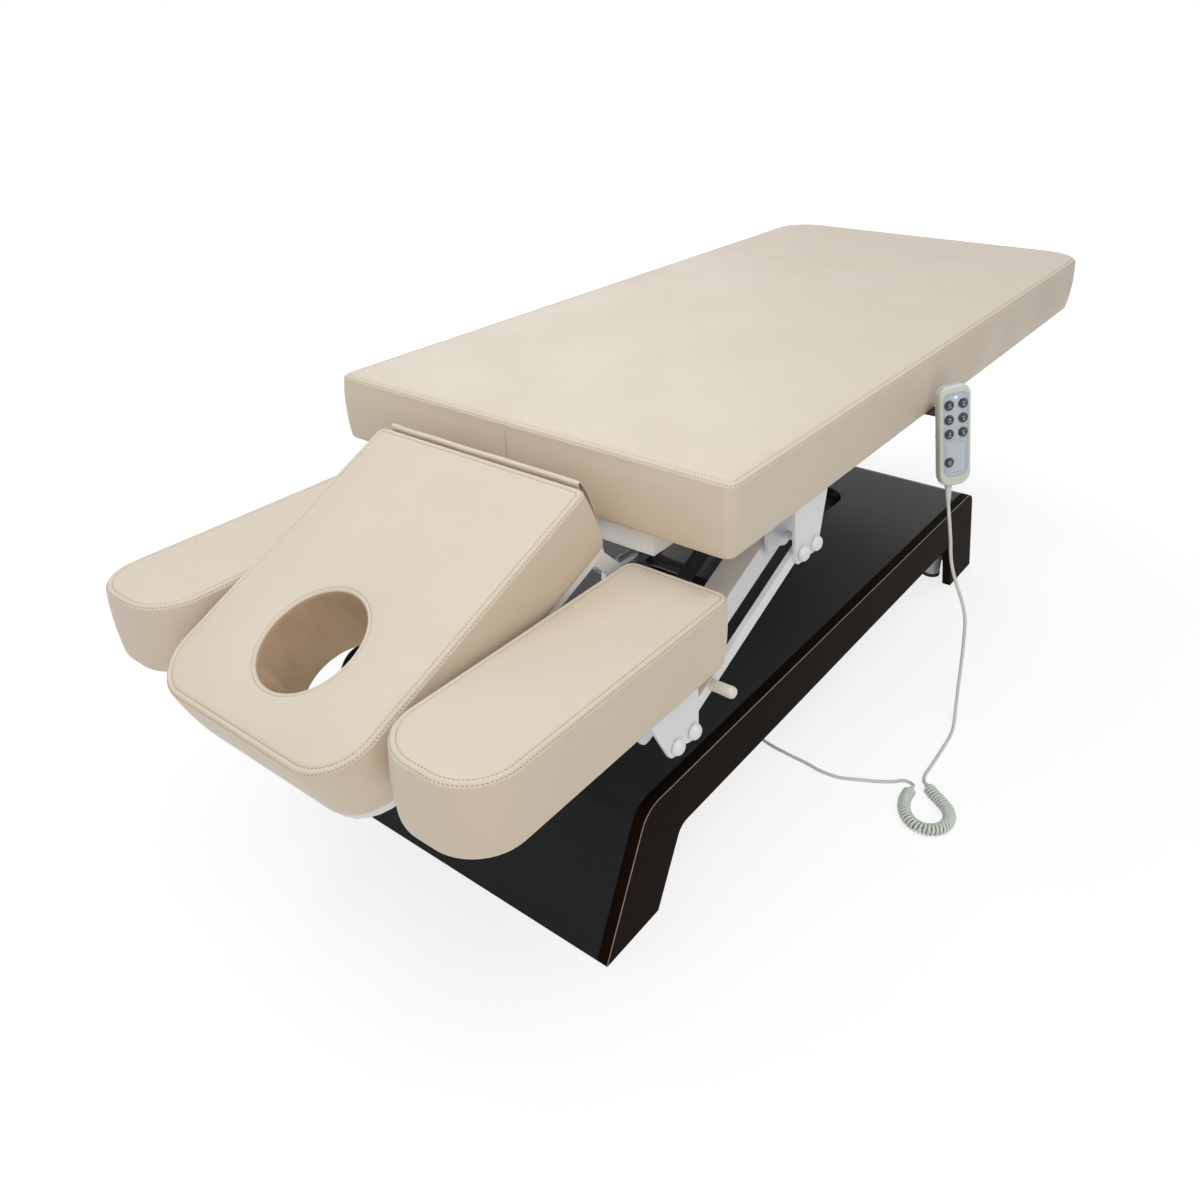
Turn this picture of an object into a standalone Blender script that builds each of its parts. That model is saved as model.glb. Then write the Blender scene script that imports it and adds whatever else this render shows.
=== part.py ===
"""Electric massage table: padded top on a scissor lift over a wooden base.

Metres, +Z up. +X runs towards the foot end, so the head end with the breathing hole and
the two armrests is at -X. The handset hangs on the -Y side. Shapes are written in table
coordinates: X from the head edge of the long cushion, Y from the middle of the table and
Z from the floor. The last step moves the whole table so that its middle stands at zero.
"""

import math

import bmesh
import bpy
from mathutils import Matrix, Vector

# Fits shared by every piece
gap = 0.0003                 # between two pieces that touch
overrun = 0.002              # how far a cut runs past the face that it opens
weld = 0.001                 # how far welded bars reach into each other
bore_gap = 0.0004            # round a pin in its bore

# Padded top
bed_height = 0.664
bed_width = 0.700
pad_thickness = 0.100
main_length = 1.070
foot_length = 0.390
head_corner_radius = 0.016
foot_corner_radius = 0.080
cushion_rim = 0.009
cushion_hem = 0.004
cushion_bulge = 0.0022
cushion_crown = 0.005
seam_inset = 0.013
seam_depth = 0.0012
board_thickness = 0.015
cushion_lip = 0.012
foot_tilt_max = math.radians(18)
notch_spare = math.radians(0.5)

# Headrest
head_length = 0.460
head_rear_width = 0.370
head_front_width = 0.346
head_thickness = 0.097
head_tilt = math.radians(24)
head_raise = math.radians(8)     # how far it lifts past level
head_hinge_setback = 0.012
head_hinge_drop = 0.018
head_rear_gap = 0.010
head_rear_radius = 0.014
head_front_radius = 0.070
head_crown = 0.004
hole_length = 0.146
hole_width = 0.134
hole_from_rear = 0.3225
hole_rim = 0.012
head_plate_thickness = 0.012
head_plate_inset = 0.003
head_lug_y = 0.115
head_lug_width = 0.012
head_pin_radius = 0.006
head_barrel_radius = 0.0100

# Armrests
arm_drop = 0.152             # from the bed's surface to the armrest's
arm_thickness = 0.100
arm_rear = 0.014
arm_front = -0.448
arm_room = 0.0055            # between headrest and armrest
arm_rear_radius = 0.020
arm_front_radius = 0.066
arm_crown = 0.004
arm_board_thickness = 0.012

# Armrest linkage, given for one side and mirrored
link_run = 0.306
link_rise = 0.140
pivot_x = 0.206              # upper pivot of the flat outer link
pivot_drop = 0.179           # from the bed's surface to it
pivot_spread = 0.038         # from the flat link's pivot to the box link's pivot
plate_setback = 0.005        # from the bed's side to the outer bracket plates
plate_thickness = 0.005
inner_plate_y = 0.240
middle_plate_y = 0.2965
flat_link_thickness = 0.008
flat_link_height = 0.021
box_link_outer_y = 0.2905
box_link_inner_y = 0.2510
box_link_height = 0.045
box_link_overhang = 0.022
pin_radius = 0.006
pin_head_radius = 0.010
pin_head_length = 0.007
lobe_radius = 0.0165
flange_thickness = 0.005
flange_start = (-0.031, -0.054)   # from pivot A to the flange's head end, upper and lower
flange_length = (0.094, 0.102)
knob_from_pivot = 0.098      # along the flat link from its lower pivot
knob_radius = 0.0095
knob_length = 0.036
knob_stem_radius = 0.004
knob_travel = 0.006

# Top frame
frame_height = 0.035
rail_width = 0.040
rail_y = 0.210
head_tube_x = 0.012
head_tube_width = 0.035
cross_tube_width = 0.035
middle_tube_x = 0.600
foot_rail_y = 0.165
foot_rail_width = 0.030
foot_rail_reach = 0.330
foot_hinge_drop = 0.018
hinge_pin_radius = 0.008

# Lift
lift_far_x = 0.960           # both fixed pivots, under the foot end
lift_near_x = 0.195          # both rollers
lift_base_height = 0.176
lift_top_drop = 0.134        # from the bed's surface to the upper pivots
lift_down = 0.080
lift_up = 0.120
outer_arm_y = 0.064
inner_arm_y = 0.044
lift_bar_width = 0.012
lift_bar_depth = 0.034
shaft_radius = 0.009
hub_radius = 0.019
roller_radius = 0.013
roller_y = (0.0765, 0.092)
lug_y = 0.0715
lug_thickness = 0.006
outer_lug_y = 0.140
channel_y = (0.0745, 0.100)
channel_wall = 0.005
roller_play = 0.0042         # the rollers' way up and down in their channels
centre_pin_radius = 0.007
centre_pin_play = 0.0042
centre_washer_radius = 0.0155
lift_tie_shares = (0.28, 0.74)
lift_tie_radius = 0.012

# Actuators
lift_crank_radius = 0.075
head_crank_radius = 0.055
foot_crank_radius = 0.080
crank_pin_radius = 0.005
crank_width = 0.022
crank_plate_thickness = 0.005
crank_plate_gap = 0.003
yoke_thickness = 0.009
yoke_wall = 0.007
yoke_play = 0.0008
yoke_end_play = 0.0010
rod_radius = 0.008
tube_radius = 0.017
tube_length = 0.190
tube_wall = 0.005
tube_setback = 0.062         # from the crank pin to the tube's mouth
motor_length = 0.085
motor_width = 0.046
motor_height = 0.052
head_actuator_y = -0.165
foot_actuator_y = 0.150
saddle_length = 0.030

# Wooden base
base_width = 0.620
base_height = 0.2236
base_near_x = -0.110
base_far_x = 1.113
leg_splay = 0.094
leg_width = 0.124
apron_depth = 0.0930
bend_radius = 0.042
leg_fillet = 0.024
side_thickness = 0.018
cover_thickness = 0.018
casing_lift = 0.002
slot_side_room = 0.033
slot_end_room = 0.008        # at a slot's foot end
slot_near_room = 0.014       # at its head end
slot_radius = 0.055

# Steel base frame
base_rail_y = 0.234
base_rail_width = 0.040
base_rail_low = 0.030
base_rail_height = 0.040
base_rail_setback = 0.022    # from the casing's top corner towards the leg
side_tab_length = 0.060
side_tab_rise = 0.048        # above the rails
side_tab_thickness = 0.010
foot_radius = 0.020
foot_setback = 0.020
foot_height = 0.0070
foot_y = 0.252
box_tube_x = 0.410
motor_tube_x = 0.740

# Control box
control_length = 0.160
control_width = 0.090
control_height = 0.052
control_y = -0.095
gland_x = 0.360
gland_radius = 0.007
gland_length = 0.012

# Handset
handset_width = 0.053
handset_length = 0.166
handset_thickness = 0.020
handset_corner_radius = 0.016
handset_edge_round = 0.004
handset_place = (0.603, -0.405)   # middle of the third row of buttons, from above
handset_drop = 0.1175        # from the bed's surface to it
handset_yaw = math.radians(-42.7)
handset_pitch = math.radians(-7.4)
handset_roll = math.radians(-6.7)
handset_below_row = 0.089    # from that row to the lower end
panel_width = 0.042
panel_top = 0.0655
panel_bottom = -0.0725
panel_radius = 0.011
panel_thickness = 0.0012
button_pitch = 0.0235
button_radius = 0.0062
button_height = 0.0036
button_foot = 0.0014
button_travel = 0.0010
button_play = 0.0004
relief_offset = -0.008
relief_length = 0.025
relief_radius = 0.0050
relief_tip_radius = 0.0038
clip_width = 0.026
clip_thickness = 0.0025
clip_gap = 0.0040
clip_top = 0.036
clip_length = 0.046
hook_width = 0.018
hook_thickness = 0.0030
hook_tail = 0.032
bracket_width = 0.036
bracket_reach = 0.055

# Cord
cord_radius = 0.0029
curl_radius = 0.0083         # from the curl's middle line to the cord's middle
curl_wire_radius = 0.0023
curl_step = 0.004
curl_count = 28
curl_points = 8
cord_floor_gap = 0.0004

# Flap between headrest and long cushion
flap_width = 0.336
flap_thickness = 0.0022
flap_fold = 0.0108           # across both layers
flap_rise = 0.0017           # above the headrest's surface
flap_reach = 0.088           # from hem to crest

# Derived heights and places
pad_bottom = bed_height - pad_thickness
frame_top = pad_bottom - gap
frame_bottom = frame_top - frame_height
head_seat = head_hinge_drop - gap * 24
head_hinge = Vector((-head_hinge_setback, 0, frame_top - head_hinge_drop + gap))
foot_hinge = Vector((main_length, 0, frame_top - foot_hinge_drop + gap))
arm_top = bed_height - arm_drop
arm_inner_y = max(head_rear_width, head_front_width) / 2 + arm_room
arm_outer_y = bed_width / 2
plate_y = bed_width / 2 - plate_setback
pivot_a = (pivot_x, bed_height - pivot_drop)
lift_top_height = bed_height - lift_top_drop
lift_rise = lift_top_height - lift_base_height
lift_run = lift_far_x - lift_near_x
lift_arm_length = math.hypot(lift_run, lift_rise)
lift_angle = math.atan2(lift_rise, lift_run)
lowest_angle = math.asin((lift_rise - lift_down) / lift_arm_length)
highest_angle = math.asin((lift_rise + lift_up) / lift_arm_length)
base_pivot = Vector((lift_far_x, 0, lift_base_height))
base_roller = Vector((lift_near_x, 0, lift_base_height))
top_pivot = Vector((lift_far_x, 0, lift_top_height))
top_roller = Vector((lift_near_x, 0, lift_top_height))
roller_least_x = lift_far_x - lift_arm_length * math.cos(lowest_angle)
roller_most_x = lift_far_x - lift_arm_length * math.cos(highest_angle)
notch_slope = math.tan(foot_tilt_max / 2 + notch_spare)
arm_bottom = arm_top - arm_thickness
cover_half = base_width / 2 - side_thickness - gap
floor_line = cord_radius + cord_floor_gap
coil_height = curl_radius + curl_wire_radius + cord_floor_gap
hole_x = -head_rear_gap - hole_from_rear
head_sweep = head_tilt + head_raise
head_pin_lag = head_sweep / 2
foot_pin_lag = foot_tilt_max / 2
lift_pin_lag = (highest_angle + lowest_angle) / 2 - lift_angle

FINISHES = {
    "cream_vinyl": ((0.720, 0.655, 0.560), 0.52, 0.0),
    "black_laminate": ((0.020, 0.020, 0.022), 0.32, 0.0),
    "brown_board": ((0.040, 0.022, 0.016), 0.42, 0.0),
    "white_steel": ((0.800, 0.810, 0.820), 0.38, 0.1),
    "black_steel": ((0.030, 0.030, 0.032), 0.42, 0.1),
    "bright_steel": ((0.560, 0.570, 0.580), 0.28, 1.0),
    "black_rubber": ((0.020, 0.020, 0.020), 0.80, 0.0),
    "plywood": ((0.520, 0.380, 0.230), 0.65, 0.0),
    "motor_plastic": ((0.100, 0.105, 0.110), 0.50, 0.0),
    "handset_plastic": ((0.780, 0.780, 0.750), 0.40, 0.0),
    "panel_film": ((0.400, 0.420, 0.430), 0.45, 0.0),
    "button_rubber": ((0.030, 0.035, 0.045), 0.55, 0.0),
    "cord_plastic": ((0.620, 0.620, 0.590), 0.50, 0.0),
    "knob_plastic": ((0.760, 0.750, 0.700), 0.45, 0.0),
}

scene = bpy.context.scene
for leftover in list(bpy.data.objects):
    bpy.data.objects.remove(leftover, do_unlink=True)


# Materials, bodies and nodes

def finish(name):
    material = bpy.data.materials.get(name)
    if material:
        return material
    colour, roughness, metallic = FINISHES[name]
    material = bpy.data.materials.new(name)
    material.use_nodes = True
    shader = material.node_tree.nodes["Principled BSDF"]
    shader.inputs["Base Color"].default_value = (*colour, 1)
    shader.inputs["Roughness"].default_value = roughness
    shader.inputs["Metallic"].default_value = metallic
    return material


def body(name, place, parent=None, turn=None):
    """An empty on a joint's axis, which carries the pieces that move together."""
    empty = bpy.data.objects.new(name, None)
    scene.collection.objects.link(empty)
    empty.matrix_world = Matrix.Translation(place) @ (turn or Matrix()).to_4x4()
    if parent:
        bpy.context.view_layer.update()
        empty.parent = parent
        empty.matrix_parent_inverse = parent.matrix_world.inverted()
    bpy.context.view_layer.update()
    return empty


def node(name, mesh, carrier, look, at=None, smooth=30):
    """One named piece. Its mesh is in table coordinates, or local to its carrier when at is given."""
    piece = bpy.data.objects.new(name, mesh)
    scene.collection.objects.link(piece)
    mesh.name = name
    mesh.materials.clear()
    mesh.materials.append(finish(look))
    if at is None:
        mesh.transform(carrier.matrix_world.inverted())
    piece.parent = carrier
    if at is not None:
        piece.location = at
    mesh.shade_smooth()
    mesh.set_sharp_from_angle(angle=math.radians(smooth))
    return piece


# Solids

def mesh_of(build):
    mesh = bpy.data.meshes.new("solid")
    build.normal_update()
    build.to_mesh(mesh)
    build.free()
    return mesh


def prism(outline, axis, low, high):
    """A straight solid: an outline in the two other axes, run along one axis."""
    build = bmesh.new()
    orders = {
        "x": lambda u, v, w: (w, u, v),
        "y": lambda u, v, w: (u, w, v),
        "z": lambda u, v, w: (u, v, w),
    }
    order = orders[axis]
    lower = [build.verts.new(order(u, v, low)) for u, v in outline]
    upper = [build.verts.new(order(u, v, high)) for u, v in outline]
    build.faces.new(lower)
    build.faces.new(upper)
    count = len(outline)
    for i in range(count):
        j = (i + 1) % count
        build.faces.new((lower[i], lower[j], upper[j], upper[i]))
    bmesh.ops.recalc_face_normals(build, faces=build.faces)
    return mesh_of(build)


def block(low, high):
    (x0, y0, z0), (x1, y1, z1) = low, high
    return prism([(x0, y0), (x1, y0), (x1, y1), (x0, y1)], "z", z0, z1)


def rod(start, end, radius, sides=14):
    """A round bar between two points."""
    start, end = Vector(start), Vector(end)
    build = bmesh.new()
    depth = (end - start).length
    bmesh.ops.create_cone(build, cap_ends=True, segments=sides, radius1=radius, radius2=radius, depth=depth)
    turn = (end - start).to_track_quat("Z", "Y").to_matrix().to_4x4()
    build.transform(Matrix.Translation((start + end) / 2) @ turn)
    return mesh_of(build)


def rod_across(x, z, y_span, radius, sides=14):
    """A rod that lies along Y."""
    return rod((x, y_span[0], z), (x, y_span[1], z), radius, sides)


def welded(solids, cuts=()):
    """The union of some solids, less some others."""
    scratch = [bpy.data.objects.new("scratch", mesh) for mesh in [*solids, *cuts]]
    for item in scratch:
        scene.collection.objects.link(item)
    first = scratch[0]
    for index, other in enumerate(scratch[1:], start=1):
        step = first.modifiers.new("step", "BOOLEAN")
        step.operation = "UNION" if index < len(solids) else "DIFFERENCE"
        step.solver = "EXACT"
        step.object = other
    bpy.context.view_layer.update()
    graph = bpy.context.evaluated_depsgraph_get()
    result = bpy.data.meshes.new_from_object(first.evaluated_get(graph))
    for item in scratch:
        bpy.data.objects.remove(item, do_unlink=True)
    return result


def fillet(corners, radii, steps=6):
    """An outline whose corners are rounded, each with its own radius."""
    count = len(corners)
    outline = []
    for i in range(count):
        corner = Vector(corners[i])
        before = (Vector(corners[i - 1]) - corner)
        after = (Vector(corners[(i + 1) % count]) - corner)
        radius = radii[i]
        if radius <= 0:
            outline.append(tuple(corner))
            continue
        half = before.angle(after) / 2
        reach = radius / math.tan(half)
        centre = corner + (before.normalized() + after.normalized()).normalized() * radius / math.sin(half)
        first = corner + before.normalized() * reach - centre
        last = corner + after.normalized() * reach - centre
        sweep = math.atan2(first.x * last.y - first.y * last.x, first.dot(last))
        for k in range(steps + 1):
            angle = sweep * k / steps
            turned = Matrix.Rotation(angle, 2) @ first
            outline.append(tuple(centre + turned))
    return outline


def mirrored(mesh):
    """A copy on the other side of the table's middle."""
    copy = mesh.copy()
    copy.transform(Matrix.Scale(-1, 4, (0, 1, 0)))
    copy.flip_normals()
    return copy


# Soft pieces

def loft(rings, close=False, caps=(True, True), peak=None):
    """A skin over rings of equal point counts, closed by caps, by a peak, or onto itself."""
    build = bmesh.new()
    rows = [[build.verts.new(point) for point in ring] for ring in rings]
    count = len(rings[0])
    pairs = list(zip(rows, rows[1:]))
    if close:
        pairs.append((rows[-1], rows[0]))
    for lower, upper in pairs:
        for i in range(count):
            j = (i + 1) % count
            build.faces.new((lower[i], lower[j], upper[j], upper[i]))
    if not close and caps[0]:
        build.faces.new(list(reversed(rows[0])))
    if not close and caps[1]:
        if peak is None:
            build.faces.new(rows[-1])
        else:
            top = build.verts.new(peak)
            for i in range(count):
                build.faces.new((rows[-1][i], rows[-1][(i + 1) % count], top))
    bmesh.ops.recalc_face_normals(build, faces=build.faces)
    return mesh_of(build)


def split_edges(outline, parts):
    """Adds points along the straight edges between rounded corners, the same number in each ring."""
    result = []
    count = len(outline)
    for i in range(count):
        here, there = Vector(outline[i]), Vector(outline[(i + 1) % count])
        result.append(tuple(here))
        steps = parts.get(i, 1)
        for k in range(1, steps):
            result.append(tuple(here.lerp(there, k / steps)))
    return result


def cushion_outline(ends, sides, radii, inset, corner_steps=5, along=4, across=3):
    """A four-cornered outline: ends in X, half widths or Y limits at each end, one radius each end."""
    (near, far), ((near_low, near_high), (far_low, far_high)) = ends, sides
    near += inset
    far -= inset
    near_corners = [(near, near_high - inset), (near, near_low + inset)]
    far_corners = [(far, far_low + inset), (far, far_high - inset)]
    corners = [near_corners[1], *far_corners, near_corners[0]]
    rounds = [max(radii[0] - inset, radii[0] / 4), max(radii[1] - inset, radii[1] / 4)]
    outline = fillet(corners, [rounds[0], rounds[1], rounds[1], rounds[0]], corner_steps)
    step = corner_steps + 1
    parts = {step - 1: along, 2 * step - 1: across, 3 * step - 1: along, 4 * step - 1: across}
    return split_edges(outline, parts)


def side_profile(bottom, top, board, lip=None):
    """Inset and height of each ring, from the pocket that holds the board up to the top seam."""
    height = top - bottom
    lip = lip or cushion_lip
    return [
        (lip, bottom + board),
        (lip, bottom),
        (cushion_hem, bottom),
        (0, bottom + cushion_hem),
        (-cushion_bulge, bottom + height / 3),
        (-cushion_bulge, bottom + height * 2 / 3),
        (0, top - cushion_rim),
        (cushion_rim * 0.3, top - cushion_rim * 0.3),
        (cushion_rim, top),
        (seam_inset, top - seam_depth),
        (seam_inset * 1.3, top),
    ]


def cushion(outline_at, bottom, top, board, crown, middle):
    """A padded piece with drawn-in sides, a sewn top edge and a crown."""
    rings = [[(x, y, z) for x, y in outline_at(inset, z)] for inset, z in side_profile(bottom, top, board)]
    rim = [Vector(point) for point in rings[-1]]
    centre = Vector((*middle, top))
    for share in (0.2, 0.6):
        lift = crown * (1 - (1 - share) ** 2)
        rings.append([tuple(point.lerp(centre, share) + Vector((0, 0, lift))) for point in rim])
    return loft(rings, peak=tuple(centre + Vector((0, 0, crown))))


def main_outline(inset, z):
    """The long cushion, whose foot end leans back so that the foot section can fold up."""
    end = main_length - gap - max(z - foot_hinge.z, 0) * notch_slope + min(inset, 0)
    half = bed_width / 2
    radii = (head_corner_radius, head_corner_radius)
    sides = ((-half, half), (-half, half))
    return cushion_outline((0, end), sides, radii, inset, corner_steps=4, along=4, across=3)


def foot_outline(inset, z):
    start = main_length + gap + max(z - foot_hinge.z, 0) * notch_slope - min(inset, 0)
    half = bed_width / 2
    ends = (start, main_length + foot_length)
    sides = ((-half, half), (-half, half))
    radii = (head_corner_radius, foot_corner_radius)
    return cushion_outline(ends, sides, radii, inset, corner_steps=5, along=2, across=2)


def armrest_outline(inset, z):
    sides = (arm_inner_y, arm_outer_y)
    ends = (arm_front, arm_rear)
    radii = (arm_front_radius, arm_rear_radius)
    return cushion_outline(ends, (sides, sides), radii, inset, corner_steps=4, along=2, across=2)


def head_outline(inset, parts=9):
    rear = -head_rear_gap
    front = rear - head_length
    sides = ((-head_front_width / 2, head_front_width / 2), (-head_rear_width / 2, head_rear_width / 2))
    radii = (head_front_radius, head_rear_radius)
    return cushion_outline((front, rear), sides, radii, inset, 7, parts, parts)


def about_hole(outline, count=36):
    """The outline again, as points at even angles about the breathing hole's middle."""
    centre = Vector((hole_x, 0))
    polar = []
    size = len(outline)
    for i in range(size):
        here, there = Vector(outline[i]) - centre, Vector(outline[(i + 1) % size]) - centre
        for k in range(8):
            point = here.lerp(there, k / 8)
            polar.append((math.atan2(point.y, point.x) % math.tau, point.length))
    polar.sort()
    polar = [(polar[-1][0] - math.tau, polar[-1][1]), *polar, (polar[0][0] + math.tau, polar[0][1])]
    ring = []
    index = 0
    for k in range(count):
        angle = math.tau * k / count
        while polar[index + 1][0] < angle:
            index += 1
        (a0, r0), (a1, r1) = polar[index], polar[index + 1]
        share = (angle - a0) / (a1 - a0) if a1 > a0 else 0
        radius = r0 + (r1 - r0) * share
        ring.append((centre.x + radius * math.cos(angle), radius * math.sin(angle)))
    return ring


def hole_ring(grow, count=36):
    ring = []
    for k in range(count):
        angle = math.tau * k / count
        reach = hole_length / 2 + grow
        width = hole_width / 2 + grow
        scale = 1 / math.hypot(math.cos(angle) / reach, math.sin(angle) / width)
        ring.append((hole_x + scale * math.cos(angle), scale * math.sin(angle)))
    return ring


def headrest_cushion():
    """The padded headrest, level and about its hinge, with the breathing hole through it."""
    low = head_seat
    top = low + head_thickness
    rings = []
    profile = side_profile(low, top, 0)[2:]
    for inset, z in profile:
        rings.append([(x, y, z) for x, y in about_hole(head_outline(inset))])
    outer = [Vector(point) for point in rings[-1]]
    inner = [Vector((x, y, top)) for x, y in hole_ring(seam_inset * 1.3)]
    for share in (0.33, 0.67):
        lift = head_crown * 4 * share * (1 - share)
        rings.append([tuple(a.lerp(b, share) + Vector((0, 0, lift))) for a, b in zip(outer, inner)])
    for grow, z in (
        (seam_inset * 1.3, top),
        (seam_inset, top - seam_depth),
        (hole_rim * 0.25, top - hole_rim * 0.3),
        (0, top - hole_rim),
        (-cushion_bulge, low + head_thickness / 2),
        (0, low + cushion_hem),
        (cushion_hem, low),
    ):
        rings.append([(x, y, z) for x, y in hole_ring(grow)])
    return loft(rings, close=True)


def flap():
    """The vinyl flap between the headrest and the long cushion, folded over like a narrow tent."""
    front = -head_rear_gap + cushion_bulge + gap
    crest = head_seat + head_thickness + flap_rise
    low = crest - flap_reach

    def layer(inset):
        """One side of the sheet, from hem to hem over the crest."""
        near, far = front + inset, front + flap_fold - inset
        radius = (far - near) / 2
        arc = []
        for k in range(7):
            angle = math.pi * (1 - k / 6)
            across = near + radius + radius * math.cos(angle)
            arc.append((across, crest - inset - radius + radius * math.sin(angle)))
        return [(near, low), *arc, (far, low)]

    loop = layer(0) + list(reversed(layer(flap_thickness)))
    lean = Matrix.Rotation(-head_tilt, 3, "Y")
    rings = []
    for share in (-0.5, 0, 0.5):
        ring = [lean @ Vector((x, flap_width * share, z)) + head_hinge for x, z in loop]
        rings.append([tuple(point) for point in ring])
    return loft(rings)


# Steel and board pieces

def rounded_block(low, high, radius, axis="z"):
    (x0, y0, z0), (x1, y1, z1) = low, high
    pairs = {"x": (y0, y1, z0, z1, x0, x1), "y": (x0, x1, z0, z1, y0, y1), "z": (x0, x1, y0, y1, z0, z1)}
    a0, a1, b0, b1, c0, c1 = pairs[axis]
    return prism(fillet([(a0, b0), (a1, b0), (a1, b1), (a0, b1)], [radius] * 4, 5), axis, c0, c1)


def capsule(start, end, width, axis, low, high, steps=5):
    """A bar with round ends: start and end are its pivots in the plane across the axis."""
    start, end = Vector(start), Vector(end)
    along = (end - start).normalized()
    outline = []
    for pivot, sense in ((end, 1), (start, -1)):
        for k in range(steps + 1):
            angle = -math.pi / 2 + math.pi * k / steps
            turned = Matrix.Rotation(angle, 2) @ (along * sense)
            outline.append(tuple(pivot + turned * width / 2))
    return prism(outline, axis, low, high)


def casing_profile(inset, low):
    """The base's outer line from the near foot over the top to the far foot, moved inwards."""
    run = leg_splay / base_height
    shift = inset * math.hypot(1, run)
    top = base_height - inset
    near_top = base_near_x - (base_height - top) * run + shift
    far_top = base_far_x + (base_height - top) * run - shift
    near_foot = base_near_x - (base_height - low) * run + shift
    far_foot = base_far_x + (base_height - low) * run - shift
    return [(near_foot, low), (near_top, top), (far_top, top), (far_foot, low)]


def casing_side():
    """A side board: top edge, two splayed legs and the arch between them."""
    near_foot, near_top, far_top, far_foot = casing_profile(0, casing_lift)
    run = leg_splay / base_height
    low = base_height - apron_depth
    near_inner = near_foot[0] + leg_width
    far_inner = far_foot[0] - leg_width
    rise = low - casing_lift
    corners = [
        near_foot,
        (near_inner, casing_lift),
        (near_inner + rise * run, low),
        (far_inner - rise * run, low),
        (far_inner, casing_lift),
        far_foot,
        far_top,
        near_top,
    ]
    radii = [0, 0, leg_fillet, leg_fillet, 0, 0, bend_radius, bend_radius]
    outline = fillet(corners, radii, 6)
    inner = base_width / 2 - side_thickness
    return prism(outline, "y", inner, inner + side_thickness)


def casing_slots():
    """Where the lift arms pass through the cover: the two ends of each slot."""
    steep = (base_height - cover_thickness - lift_base_height) / math.tan(highest_angle)
    flat = (base_height - lift_base_height) / math.tan(lowest_angle)
    half_steep = lift_bar_depth / 2 / math.sin(highest_angle)
    half_flat = lift_bar_depth / 2 / math.sin(lowest_angle)
    near_limit = roller_least_x + steep - half_steep - slot_end_room * 3
    far_limit = roller_most_x + flat + half_flat
    span = flat + half_flat - steep + half_steep + slot_end_room + slot_near_room
    far_end = lift_far_x - steep + half_steep + slot_end_room
    return ((near_limit, far_limit), (far_end - span, far_end))


def casing_cover():
    """The bent top board with its sloped ends and the two holes for the lift arms."""
    outer = casing_profile(0, casing_lift)
    inner = casing_profile(cover_thickness, casing_lift)
    corners = outer + list(reversed(inner))
    inner_bend = bend_radius - cover_thickness
    radii = [0, bend_radius, bend_radius, 0, 0, inner_bend, inner_bend, 0]
    board = prism(fillet(corners, radii, 6), "y", -cover_half, cover_half)
    cuts = []
    for near_end, far_end in casing_slots():
        low = (near_end, -outer_arm_y - slot_side_room, base_height - cover_thickness - overrun)
        high = (far_end, outer_arm_y + slot_side_room, base_height + overrun)
        cuts.append(rounded_block(low, high, slot_radius))
    return welded([board], cuts)


def spread(side, inner, outer):
    """A span of Y on one side of the table, low end first."""
    return (inner, outer) if side > 0 else (-outer, -inner)


def side_block(side, x_span, y_span, z_span):
    low_y, high_y = spread(side, *y_span)
    return block((x_span[0], low_y, z_span[0]), (x_span[1], high_y, z_span[1]))


def roller_channel(side, height, slot_low, slot_high):
    """A C-shaped rail, open towards the middle, in which a roller runs."""
    near = roller_least_x - roller_radius * 1.5
    far = roller_most_x + roller_radius * 3
    z_span = (height - slot_low - channel_wall, height + slot_high + channel_wall)
    bar = side_block(side, (near - channel_wall, far + channel_wall), channel_y, z_span)
    y_span = (channel_y[0] - overrun, channel_y[1] - channel_wall)
    slot = side_block(side, (near, far), y_span, (height - slot_low, height + slot_high))
    return bar, slot, (near - channel_wall, far + channel_wall, *z_span)


def casing_rail_ends():
    return base_near_x - base_rail_setback, base_far_x + base_rail_setback


def foot_places():
    """Where along X the posts of the frame stand."""
    near, far = casing_rail_ends()
    return near + foot_setback, far - foot_setback


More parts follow.
